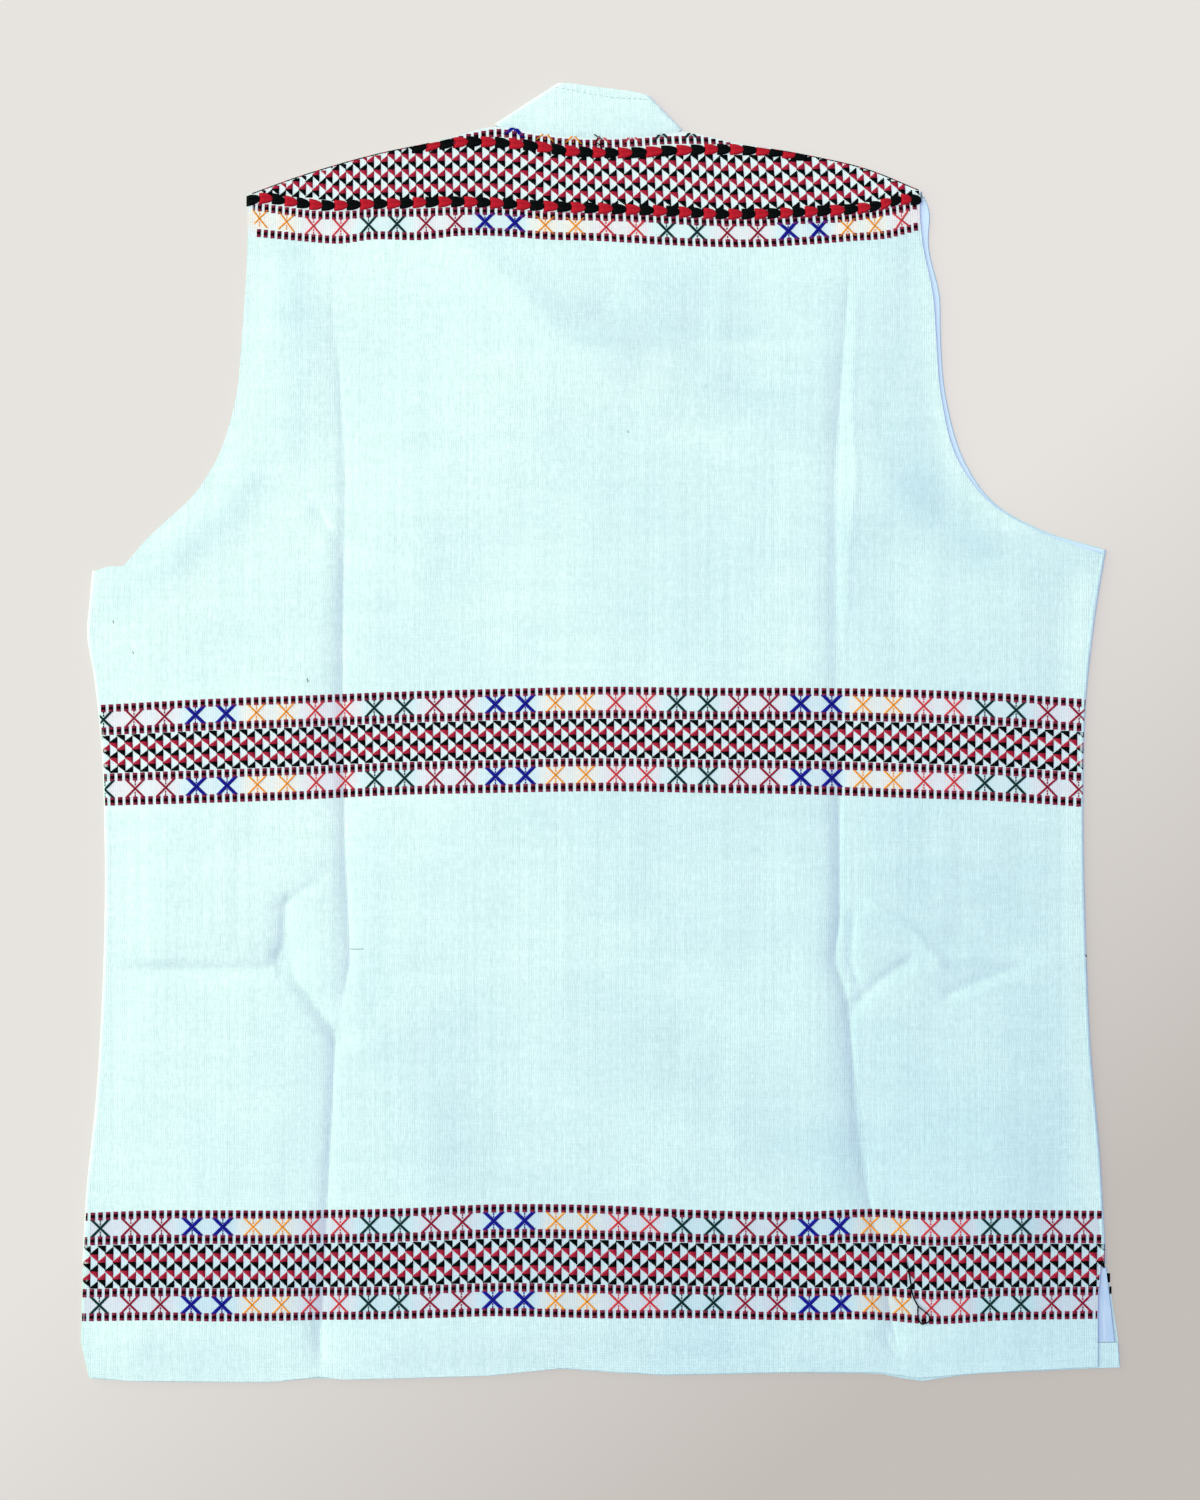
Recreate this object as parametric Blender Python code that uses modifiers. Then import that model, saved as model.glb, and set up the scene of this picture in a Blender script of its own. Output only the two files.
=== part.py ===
"""Sleeveless band-collar waistcoat of handloom cloth, laid flat with its back up.

Sizes are in millimetres and become metres when a mesh is made. X runs to the wearer's right, Y runs
up the garment to its collar, and Z leaves the surface that it lies on. The two fronts lie face down
at the bottom, lapped at the centre. The lining of the right front lies on them, and the back lies on
top. Each front wraps round its side fold and meets the back at the side seam.
"""

from collections import namedtuple

import bpy
import numpy as np

MM = 0.001
COLLECTION = "handloom_waistcoat"

# Walls, and the gap between neighbours.
CLOTH = 1.0
COLLAR_WALL = 2.0
GAP = 0.3

# Levels of the layers, and the round of a side fold that spans them all.
LINING_LEVEL = CLOTH + GAP
BACK_LEVEL = LINING_LEVEL + CLOTH + GAP
BACK_TOP = BACK_LEVEL + CLOTH
COLLAR_TOP = BACK_LEVEL + COLLAR_WALL
SIDE_RADIUS = BACK_TOP / 2
COLLAR_RADIUS = COLLAR_TOP / 2
FOLD_STEPS = 6

# The fronts: how far each passes the centre, and the ramp that lifts the right one over the left.
LAP = 12.0
RAMP = 12.0
RAMP_START = LAP + 1.0
LEAST_COLUMN = 2.0
SHOULDER_TURN = 3.0
FRONT_STEPS = 5

# The lining stops short of the front edge, the neckline, the vent and the outer edge above it.
LINING_INSET = 17.0
LINING_NECK_INSET = 4.0
LINING_VENT_INSET = 2.5
LINING_EDGE_INSET = 0.6
LINING_SEAM_INSET = 0.1
HEM_INSET = 0.4

# The front neckline is a quarter of an ellipse on each side, and the collar stands along it.
NECK_FRONT_Y = 256.0
NECK_LEFT = (-60.1, 344.9)
NECK_RIGHT = (46.7, 342.0)
NECK_STEPS = 9
BAND_HEIGHT = 30.0
BAND_STEPS = 4
BAND_LEFT_TOP = (-24.6, 369.8)
BAND_RIGHT_TOP = (28.2, 362.5)
BAND_END_GAP = 0.5

# How the back lies: a low plateau, soft billows on it, and a flat, closely woven yoke.
PLATEAU = 1.5
SIDE_FADE = 32.0
HEM_FADE = 24.0
YOKE_START = 190.0
YOKE_FADE = 80.0

# The arrow braids: one leaf is half of a red and black pair.
LEAF = 7.93
BRAID_HALF_WIDTH = 3.0
BRAID_HEIGHT = 1.2
BRAID_SIDE = 0.35
BRAID_EDGE_MARGIN = 0.6
BRAID_LEAST_WIDTH = 2.4

# One run of a side, from the hem up: the back's edge and the front's own outer edge beside it.
Run = namedtuple("Run", "name steps edges")
Edge = namedtuple("Edge", "back_x back_y front_x front_y")

LEFT_SIDE = (
    Run("hem", 1, (
        Edge(-290.7, -366.5, -291.3, -367.6),
        Edge(-295.0, -346.5, -296.1, -346.8),
    )),
    Run("vent", 3, (
        Edge(-295.0, -346.5, -296.1, -346.8),
        Edge(-293.9, -325.0, -295.6, -325.0),
        Edge(-291.8, -302.0, -295.0, -302.0),
    )),
    Run("seam", 20, (
        Edge(-291.8, -302.0, -295.0, -302.0),
        Edge(-289.7, -260.0, -292.7, -260.0),
        Edge(-284.9, -215.0, -287.9, -215.0),
        Edge(-281.1, -158.0, -284.1, -158.0),
        Edge(-279.4, -60.0, -282.4, -60.0),
        Edge(-281.7, -1.0, -284.7, -1.0),
        Edge(-285.9, 35.0, -288.9, 35.0),
        Edge(-288.7, 57.0, -292.3, 56.0),
        Edge(-283.0, 77.5, -290.8, 76.0),
        Edge(-271.6, 94.9, -289.3, 92.3),
    )),
    Run("armhole", 16, (
        Edge(-271.6, 94.9, -289.3, 92.3),
        Edge(-258.5, 110.0, -262.0, 99.0),
        Edge(-246.5, 121.4, -244.5, 117.0),
        Edge(-234.0, 132.8, -231.0, 129.5),
        Edge(-218.6, 155.6, -214.5, 154.0),
        Edge(-208.3, 187.0, -204.5, 187.0),
        Edge(-203.8, 230.0, -200.3, 230.0),
        Edge(-200.9, 281.0, -197.5, 281.0),
        Edge(-201.2, 306.1, -199.7, 305.4),
    )),
)

RIGHT_SIDE = (
    Run("hem", 1, (
        Edge(283.0, -360.5, 296.1, -361.6),
        Edge(283.0, -346.5, 295.0, -346.8),
    )),
    Run("vent", 3, (
        Edge(283.0, -346.5, 295.0, -346.8),
        Edge(283.1, -325.0, 291.7, -325.0),
        Edge(284.9, -302.0, 288.1, -302.0),
    )),
    Run("seam", 20, (
        Edge(284.9, -302.0, 288.1, -302.0),
        Edge(281.7, -243.0, 284.7, -243.0),
        Edge(275.9, -175.0, 279.0, -175.0),
        Edge(273.0, -112.0, 276.4, -112.0),
        Edge(271.8, -32.0, 275.2, -32.0),
        Edge(273.3, 19.0, 276.7, 19.0),
        Edge(276.6, 53.0, 280.2, 53.0),
        Edge(279.2, 76.0, 283.3, 76.0),
        Edge(285.0, 102.0, 288.1, 104.3),
    )),
    Run("armhole", 16, (
        Edge(285.0, 102.0, 288.1, 104.3),
        Edge(250.5, 114.3, 250.5, 116.0),
        Edge(219.7, 132.8, 221.9, 133.6),
        Edge(203.2, 155.6, 207.2, 155.6),
        Edge(194.1, 189.8, 197.2, 189.8),
        Edge(190.7, 229.7, 193.8, 229.7),
        Edge(189.5, 246.8, 193.5, 246.8),
        Edge(183.0, 281.0, 186.9, 281.0),
        Edge(181.8, 295.3, 187.5, 297.0),
        Edge(182.1, 308.7, 183.3, 308.2),
    )),
)

# The hem from left to right: the back's edge, and the front's, which shows below it in places.
Hem = namedtuple("Hem", "x back_y front_y")
HEM = (
    Hem(-291.0, -366.5, -367.6),
    Hem(-268.8, -368.6, -369.4),
    Hem(-209.5, -369.2, -370.0),
    Hem(-187.2, -369.2, -370.0),
    Hem(-159.9, -366.2, -367.2),
    Hem(-147.3, -368.0, -368.7),
    Hem(-64.7, -365.7, -366.4),
    Hem(-21.9, -361.4, -362.0),
    Hem(34.5, -365.0, -366.0),
    Hem(113.7, -363.5, -364.4),
    Hem(159.3, -363.7, -365.0),
    Hem(181.0, -367.0, -369.6),
    Hem(210.6, -364.4, -365.2),
    Hem(283.0, -360.5, -361.9),
    Hem(296.1, -360.4, -361.6),
)

# The shoulder seams and the shallow neck seam between them.
Top = namedtuple("Top", "x y")
TOP = (
    Top(-201.2, 306.1),
    Top(-171.3, 316.9),
    Top(-130.2, 328.9),
    Top(-91.5, 337.2),
    Top(-60.1, 344.9),
    Top(-51.6, 345.2),
    Top(-38.5, 342.3),
    Top(-16.2, 340.0),
    Top(18.5, 339.2),
    Top(46.7, 342.0),
    Top(73.8, 336.3),
    Top(113.7, 329.7),
    Top(153.6, 320.3),
    Top(182.1, 308.7),
)

# The upper edge of the collar over the back, from its right fold to its left.
COLLAR_EDGE = (
    Top(26.5, 361.0),
    Top(21.0, 364.3),
    Top(11.1, 365.9),
    Top(-6.0, 368.0),
    Top(-16.2, 369.4),
    Top(-23.2, 368.2),
)

# The two pressed creases: where each stands at each height, a steep wall on its right side.
Crease = namedtuple("Crease", "y left_x right_x")
CREASES = (
    Crease(-366.0, -160.0, 172.0),
    Crease(-269.0, -156.5, 152.0),
    Crease(-205.0, -152.0, 144.5),
    Crease(-155.0, -146.0, 141.0),
    Crease(-129.0, -143.0, 133.5),
    Crease(-84.0, -145.5, 135.4),
    Crease(60.0, -147.0, 132.0),
    Crease(178.0, -149.0, 135.5),
    Crease(310.0, -155.0, 145.0),
)
CREASE_DEPTH = 1.3
CREASE_GENTLE = 11.0
CREASE_STEEP = 5.0
CREASE_COLUMNS = (-15.0, -8.0, 0.0, 4.0, 10.0)
BETWEEN_COLUMNS = (6, 11, 6)

# Softer folds: each is a straight ridge, or a trough where its height is negative.
Fold = namedtuple("Fold", "x0 y0 x1 y1 height width")
FOLDS = (
    Fold(-72.0, 270.0, 5.0, 215.0, 1.3, 16.0),
    Fold(5.0, 215.0, 110.0, 185.0, 0.8, 18.0),
    Fold(165.0, 175.0, 200.0, 128.0, -1.2, 12.0),
    Fold(200.0, 128.0, 250.0, 105.0, -0.9, 10.0),
    Fold(-222.0, 134.0, -160.0, 112.0, 1.0, 10.0),
    Fold(-184.0, -131.0, -145.0, -170.0, -1.1, 10.0),
    Fold(-184.0, -131.0, -183.0, -104.0, -1.0, 10.0),
    Fold(-283.0, -130.0, -184.0, -133.0, -0.8, 12.0),
    Fold(141.0, -103.0, 190.0, -125.0, 0.9, 10.0),
    Fold(190.0, -130.0, 143.0, -153.0, 0.9, 10.0),
    Fold(195.0, -127.0, 275.0, -128.0, 0.8, 12.0),
)

# Billows: one cycle in this many millimetres across and along, its phase and its height.
Billow = namedtuple("Billow", "across along phase height")
BILLOWS = (
    Billow(310.0, 520.0, 0.6, 0.45),
    Billow(-190.0, 260.0, 2.1, 0.30),
    Billow(150.0, -230.0, 4.0, 0.20),
)

LOWER_BRAID = (
    Top(-199.4, 303.0),
    Top(-192.4, 304.2),
    Top(-177.0, 302.4),
    Top(-162.7, 300.5),
    Top(-128.5, 301.0),
    Top(-74.4, 302.2),
    Top(-31.6, 299.8),
    Top(28.2, 297.4),
    Top(76.7, 295.2),
    Top(119.4, 296.7),
    Top(156.5, 299.8),
    Top(172.4, 303.6),
    Top(180.6, 303.2),
)
UPPER_BRAID = (
    Top(-106.0, 333.0),
    Top(-74.4, 336.4),
    Top(-45.9, 334.9),
    Top(-14.5, 330.9),
    Top(8.3, 330.0),
    Top(45.3, 331.5),
    Top(76.7, 332.0),
    Top(105.2, 330.0),
    Top(118.0, 327.6),
)

# A leaf of the braid: how wide it is along its length, notched at its tail and drawn in at its tip.
LEAF_WIDTHS = (0.72, 1.0, 0.94)
BRAID_SECTION = (
    (-1.0, 0.0), (-1.0, BRAID_SIDE), (-0.45, BRAID_HEIGHT),
    (0.45, BRAID_HEIGHT), (1.0, BRAID_SIDE), (1.0, 0.0),
)

# Colour, roughness and metallic value of each finish.
FINISHES = {
    "handloom_cotton": ((0.72, 0.94, 0.94, 1.0), 0.85, 0.0),
    "lining_cotton": ((0.50, 0.65, 0.90, 1.0), 0.80, 0.0),
    "braid_yarn": ((0.35, 0.02, 0.04, 1.0), 0.75, 0.0),
}


def hermite(knots, values, at):
    """Cubic through the values at the knots, with the slope at each knot that of its neighbours."""
    knots = np.asarray(knots, float)
    values = np.asarray(values, float)
    slopes = np.gradient(values, knots, axis=0)
    k = np.clip(np.searchsorted(knots, at, side="right") - 1, 0, len(knots) - 2)
    span = knots[k + 1] - knots[k]
    t = np.clip((at - knots[k]) / span, 0.0, 1.0)
    if values.ndim > 1:
        span, t = span[:, None], t[:, None]
    stay = (2 * t**3 - 3 * t**2 + 1) * values[k] + (3 * t**2 - 2 * t**3) * values[k + 1]
    return stay + span * ((t**3 - 2 * t**2 + t) * slopes[k] + (t**3 - t**2) * slopes[k + 1])


def smooth_curve(table, count):
    """Rows at even steps along the smooth curve through the table's first two columns."""
    knots = np.array(table, float)
    steps = np.hypot(*np.diff(knots[:, :2], axis=0).T)
    length = np.concatenate(([0.0], np.cumsum(steps)))
    return hermite(length, knots, np.linspace(0.0, length[-1], count))


def smoothstep(t):
    t = np.clip(t, 0.0, 1.0)
    return t * t * (3 - 2 * t)


def side_rows(side):
    """All rows of a side from hem to shoulder tip, as columns back x, back y, front x, front y."""
    runs = [smooth_curve(run.edges, run.steps + 1) for run in side]
    return np.vstack([runs[0]] + [run[1:] for run in runs[1:]])


def row_of(side, name):
    """The number of the row at which the named run starts."""
    names = [run.name for run in side]
    return sum(run.steps for run in side[:names.index(name)])


LEFT = side_rows(LEFT_SIDE)
RIGHT = side_rows(RIGHT_SIDE)
TURN_ROW = row_of(RIGHT_SIDE, "vent")
VENT_ROW = row_of(RIGHT_SIDE, "seam")
UNDERARM_ROW = row_of(RIGHT_SIDE, "armhole")
LAST_ROW = len(RIGHT) - 1


def table_column(table, name):
    return np.array([getattr(row, name) for row in table])


def top_y(x):
    return hermite(table_column(TOP, "x"), table_column(TOP, "y"), x)


def back_hem(x):
    return np.interp(x, table_column(HEM, "x"), table_column(HEM, "back_y"))


def front_hem(x):
    return np.interp(x, table_column(HEM, "x"), table_column(HEM, "front_y"))


def fold_lift(x, y):
    """Sum of the folds: each fades with the square of the distance to its line, in a bell."""
    total = np.zeros_like(x)
    for fold in FOLDS:
        run = np.array([fold.x1 - fold.x0, fold.y1 - fold.y0])
        along = np.clip(((x - fold.x0) * run[0] + (y - fold.y0) * run[1]) / (run @ run), 0, 1)
        off = np.hypot(x - fold.x0 - along * run[0], y - fold.y0 - along * run[1])
        total += fold.height * np.exp(-(off / fold.width) ** 2)
    return total


def crease_lift(x, y):
    """The pressed creases: troughs with a gentle left wall and a steep right one."""
    total = np.zeros_like(x)
    for column in ("left_x", "right_x"):
        off = x - np.interp(y, table_column(CREASES, "y"), table_column(CREASES, column))
        width = np.where(off < 0, CREASE_GENTLE, CREASE_STEEP)
        total -= CREASE_DEPTH * np.exp(-(off / width) ** 2)
    return total


def back_lift(x, y):
    """How far the back lies above its lowest level: nothing at its seams and over the yoke."""
    left_x = np.interp(y, LEFT[:, 1], LEFT[:, 0])
    right_x = np.interp(y, RIGHT[:, 1], RIGHT[:, 0])
    inside = smoothstep(np.minimum(x - left_x, right_x - x) / SIDE_FADE)
    inside = inside * smoothstep((y - back_hem(x)) / HEM_FADE)
    inside = inside * (1 - smoothstep((y - YOKE_START) / YOKE_FADE))
    billow = np.zeros_like(x)
    for wave in BILLOWS:
        turns = x / wave.across + y / wave.along
        billow += wave.height * np.sin(2 * np.pi * turns + wave.phase)
    return inside * np.maximum(PLATEAU + billow + fold_lift(x, y) + crease_lift(x, y), 0.0)


def row_heights(x, left, right, hem, top):
    """Heights of rows of points: between the hem's and the top's curve, and true at both sides."""
    u = (x - left[:, :1]) / (right[:, :1] - left[:, :1])
    middle = (left[:, 1] + right[:, 1]) / 2
    v = ((middle - middle[0]) / (middle[-1] - middle[0]))[:, None]
    low = hem(left[0, 0] + u * (right[0, 0] - left[0, 0]))
    high = top(left[-1, 0] + u * (right[-1, 0] - left[-1, 0]))
    left_off = left[:, 1:] - (1 - v) * hem(left[:1, :1]) - v * top(left[-1:, :1])
    right_off = right[:, 1:] - (1 - v) * hem(right[:1, :1]) - v * top(right[-1:, :1])
    return (1 - v) * low + v * high + (1 - u) * left_off + u * right_off


def spread(knots, counts):
    """Columns between the knots of each row, with so many even steps from each knot to the next."""
    columns = [knots[:, :1]]
    for k, count in enumerate(counts):
        t = np.linspace(0, 1, count + 1)[1:]
        columns.append(knots[:, k:k + 1] * (1 - t) + knots[:, k + 1:k + 2] * t)
    return np.hstack(columns)


def finish(obj, slot):
    colour, roughness, metallic = FINISHES[slot]
    material = bpy.data.materials.get(slot)
    if material is None:
        material = bpy.data.materials.new(slot)
        material.use_nodes = True
        shader = material.node_tree.nodes["Principled BSDF"]
        shader.inputs["Base Color"].default_value = colour
        shader.inputs["Roughness"].default_value = roughness
        shader.inputs["Metallic"].default_value = metallic
    obj.data.materials.append(material)
    bpy.data.collections[COLLECTION].objects.link(obj)


def grid_faces(rows, columns, kept):
    """Quads of a grid of points, one for each kept cell, facing along rows cross columns."""
    row, column = np.nonzero(kept)
    first = row * columns + column
    return np.stack([first, first + 1, first + columns + 1, first + columns], axis=1)


def cloth_piece(name, slot, points, wall, faces_up, kept=None):
    """A wall of even thickness behind an outer surface, given as a grid of points in millimetres."""
    rows, columns = points.shape[:2]
    if kept is None:
        kept = np.ones((rows - 1, columns - 1), bool)
    faces = grid_faces(rows, columns, kept)
    if not faces_up:
        faces = faces[:, ::-1]
    used, faces = np.unique(faces, return_inverse=True)
    mesh = bpy.data.meshes.new(name)
    mesh.from_pydata((points.reshape(-1, 3)[used] * MM).tolist(), [], faces.reshape(-1, 4).tolist())
    obj = bpy.data.objects.new(name, mesh)
    finish(obj, slot)
    solidify = obj.modifiers.new("wall", "SOLIDIFY")
    solidify.thickness = wall * MM
    solidify.offset = -1.0
    mesh.shade_smooth()
    return obj


def make_back():
    half = GAP / 2
    left = LEFT[:, :2] + (half, 0.0)
    right = RIGHT[:, :2] - (half, 0.0)
    heights = (left[:, 1] + right[:, 1]) / 2
    creases = [
        np.interp(heights, table_column(CREASES, "y"), table_column(CREASES, column))
        for column in ("left_x", "right_x")
    ]
    beside = np.array(CREASE_COLUMNS)
    knots = np.hstack([
        left[:, :1],
        creases[0][:, None] + beside,
        creases[1][:, None] + beside,
        right[:, :1],
    ])
    single = (1,) * (len(beside) - 1)
    outer_left, middle, outer_right = BETWEEN_COLUMNS
    x = spread(knots, (outer_left, *single, middle, *single, outer_right))
    y = row_heights(x, left, right, back_hem, top_y)
    points = np.stack([x, y, BACK_TOP + back_lift(x, y)], axis=2)
    cloth_piece("back_panel", "handloom_cotton", points, CLOTH, True)
    return points[-1, :, :2]


def neckline(neck_point, side, inset=0.0):
    """Points down a quarter ellipse from the neck point to the front edge, lowest first."""
    angles = np.linspace(0, np.pi / 2, NECK_STEPS + 1)
    return neckline_at(neck_point, side, angles, inset)


def neckline_at(neck_point, side, angles, inset):
    start_x = -side * LAP
    wide = neck_point[0] - start_x - side * inset
    deep = neck_point[1] - NECK_FRONT_Y - inset
    x = start_x + wide * np.sin(angles)
    y = neck_point[1] - deep * np.cos(angles)
    return np.stack([x, y], axis=1)


def front_inner_edge(outer, neck_point, side):
    """The centre front edge, level with the outer rows, and then the neckline."""
    free = LAST_ROW - NECK_STEPS
    x = np.full(free, -side * LAP)
    y = outer[:free, 1].copy()
    above = np.arange(UNDERARM_ROW, free)
    t = (above - UNDERARM_ROW) / (free - UNDERARM_ROW)
    y[above] = outer[UNDERARM_ROW, 1] * (1 - t) + NECK_FRONT_Y * t
    y[0] = front_hem(x[0])
    return np.vstack([np.stack([x, y], axis=1), neckline(neck_point, side)])


def lap_lift(x):
    """The right front rises by one layer where it lies on the left one."""
    return LINING_LEVEL * (1 - smoothstep((x - RAMP_START) / RAMP))


def make_front(name, rows, neck_point, side):
    """A flat panel whose outer edge turns up round the side fold, between vent and underarm."""
    outer = rows[:, 2:].copy()
    wrapped = np.arange(len(rows))
    wrapped = (wrapped >= VENT_ROW) & (wrapped <= UNDERARM_ROW)
    outer[wrapped, 0] -= side * SIDE_RADIUS
    inner = front_inner_edge(rows[:, 2:], neck_point, side)
    if side > 0:
        ramp = RAMP_START + np.array([0.0, RAMP / 2, RAMP])
        beside = inner[:, :1] + LEAST_COLUMN * np.arange(1, 4)
        knots = np.hstack([inner[:, :1], np.maximum(ramp, beside), outer[:, :1]])
        x = spread(knots, (1, 1, 1, FRONT_STEPS))
    else:
        x = spread(np.stack([inner[:, 0], outer[:, 0]], axis=1), (FRONT_STEPS,))
    left, right = (inner, outer) if side > 0 else (outer, inner)
    y = row_heights(x, left, right, front_hem, top_y)
    z = lap_lift(x) if side > 0 else np.zeros_like(x)
    flat = np.stack([x, y, z], axis=2)

    turn = np.linspace(-np.pi / 2, np.pi / 2, FOLD_STEPS + 1)[1:]
    ones = np.ones(len(turn))
    arc = np.stack([
        outer[:, :1] + side * SIDE_RADIUS * np.cos(turn),
        outer[:, 1:] * ones,
        SIDE_RADIUS * (1 + np.sin(turn)) * np.ones((len(rows), 1)),
    ], axis=2)
    seam = np.stack([
        rows[:, 0] + side * GAP / 2, rows[:, 1], np.full(len(rows), BACK_TOP),
    ], axis=1)[:, None]
    points = np.concatenate([flat, arc, seam], axis=1)

    kept = np.ones((len(rows) - 1, points.shape[1] - 1), bool)
    kept[:VENT_ROW, flat.shape[1] - 1:] = False
    kept[UNDERARM_ROW:, flat.shape[1] - 1:] = False
    points, kept = turn_shoulder_up(points, kept)
    cloth_piece(name, "handloom_cotton", points, CLOTH, side < 0, kept)


def turn_shoulder_up(points, kept):
    """Adds a row just below the shoulder seam, and lifts the last one to meet the back."""
    below = points[-1:] - (0.0, SHOULDER_TURN, 0.0)
    points = np.concatenate([points[:-1], below, points[-1:]])
    points[-1, :, 2] = LINING_LEVEL
    return points, np.concatenate([kept, kept[-1:]])


def make_lining():
    """The right front's lining, from the turned-up hem to just short of the shoulder seam."""
    rows = RIGHT[TURN_ROW:].copy()
    outer = rows[:, 2:].copy()
    outer[:, 0] -= LINING_VENT_INSET
    seam = slice(VENT_ROW - TURN_ROW, UNDERARM_ROW - TURN_ROW + 1)
    outer[seam, 0] = rows[seam, 2] - SIDE_RADIUS - LINING_SEAM_INSET
    above = slice(UNDERARM_ROW - TURN_ROW + 1, None)
    outer[above] = rows[above, 2:] - LINING_EDGE_INSET
    inner = front_inner_edge(RIGHT[:, 2:], NECK_RIGHT, 1)[TURN_ROW:]
    inner[:, 0] = np.maximum(inner[:, 0] + LINING_NECK_INSET, LAP + LINING_INSET)
    inner[0, 1] = outer[0, 1]
    inner[-1, 1] -= SHOULDER_TURN + LINING_EDGE_INSET
    outer[-1, 1] -= SHOULDER_TURN

    def hem(x):
        return np.full_like(x, outer[0, 1])

    def top(x):
        return top_y(x) - SHOULDER_TURN - LINING_EDGE_INSET

    x = spread(np.stack([inner[:, 0], outer[:, 0]], axis=1), (FRONT_STEPS,))
    y = row_heights(x, inner, outer, hem, top)
    z = np.full_like(x, LINING_LEVEL + CLOTH)
    cloth_piece("front_right_lining", "lining_cotton", np.stack([x, y, z], axis=2), CLOTH, True)


def make_turned_hem():
    """The right front's hem allowance, turned up on its inner face below the lining."""
    edge = RIGHT[:TURN_ROW + 1, 2:]
    x = np.linspace(LAP + LINING_INSET, edge[0, 0] - LINING_EDGE_INSET, FRONT_STEPS + 1)
    low = front_hem(x) + HEM_INSET
    high = np.full_like(x, edge[-1, 1] - GAP)
    x = np.stack([x, np.append(x[:-1], edge[-1, 0] - LINING_EDGE_INSET)])
    z = np.full_like(x, LINING_LEVEL + CLOTH)
    points = np.stack([x, np.stack([low, high]), z], axis=2)
    cloth_piece("front_right_hem", "handloom_cotton", points, CLOTH, True)


def collar_front(neck_point, top_point, side):
    """The half of the collar under the back: lower and upper edge, from its end to the fold."""
    start = np.arcsin((LAP + BAND_END_GAP) / abs(neck_point[0] + side * LAP))
    angles = np.linspace(0, np.pi / 2, NECK_STEPS + 1)
    angles = np.concatenate(([start], angles[angles > start + 0.1]))
    lower = neckline_at(neck_point, side, angles, 2 * GAP)
    wide = top_point[0] - side * BAND_END_GAP
    deep = top_point[1] - NECK_FRONT_Y - BAND_HEIGHT
    t = (angles - start) / (np.pi / 2 - start) * np.pi / 2
    upper = np.stack([
        side * BAND_END_GAP + wide * np.sin(t), top_point[1] - deep * np.cos(t),
    ], axis=1)
    return lower, upper


def fold_normal(neck_point, top_point, side):
    """The direction out of the collar, square to the line of its side fold."""
    run = np.subtract(top_point, neck_point)
    out = np.array([run[1], -run[0]]) * side
    return out / np.hypot(*run)


def make_collar(back_edge):
    """One strip: the right front half, the right fold, the back, the left fold, the left half."""
    ends = ((NECK_RIGHT, BAND_RIGHT_TOP, 1), (NECK_LEFT, BAND_LEFT_TOP, -1))
    turn = np.linspace(-np.pi / 2, np.pi / 2, FOLD_STEPS + 1)
    parts = []
    for neck_point, top_point, side in ends:
        low, high = collar_front(neck_point, top_point, side)
        out = fold_normal(neck_point, top_point, side)
        low[-1] -= out * COLLAR_RADIUS
        high[-1] -= out * COLLAR_RADIUS
        inset = COLLAR_RADIUS * (np.cos(turn[1:]) - 1)[:, None] * out
        foot = np.array(neck_point) + inset
        foot[:, 1] = np.interp(foot[:, 0], *back_edge.T) + GAP
        foot[:, 1] += COLLAR_WALL * out[1] * np.cos(turn[1:])
        low = np.vstack([low, foot])
        high = np.vstack([high, np.array(top_point) + inset])
        rise = COLLAR_RADIUS * (1 + np.sin(turn[1:]))
        parts.append((low, high, np.concatenate([np.zeros(len(low) - len(rise)), rise])))
    right, left = parts
    x = np.concatenate([back_edge[:, 0], (back_edge[1:, 0] + back_edge[:-1, 0]) / 2])
    x = np.sort(x[(x > left[0][-1, 0] + GAP) & (x < right[0][-1, 0] - GAP)])[::-1]
    seam = np.stack([x, np.interp(x, *back_edge.T) + GAP], axis=1)
    edge = smooth_curve(COLLAR_EDGE, len(x) + 2)[1:-1]
    lower = np.vstack([right[0], seam, left[0][::-1]])
    upper = np.vstack([right[1], edge, left[1][::-1]])
    level = np.concatenate([right[2], np.full(len(x), COLLAR_TOP), left[2][::-1]])
    up = np.linspace(0, 1, BAND_STEPS + 1)[:, None, None]
    plan = lower * (1 - up) + upper * up
    z = np.broadcast_to(level, plan.shape[:2])
    points = np.concatenate([plan, z[:, :, None]], axis=2)
    cloth_piece("collar", "handloom_cotton", points, COLLAR_WALL, False)


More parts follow.
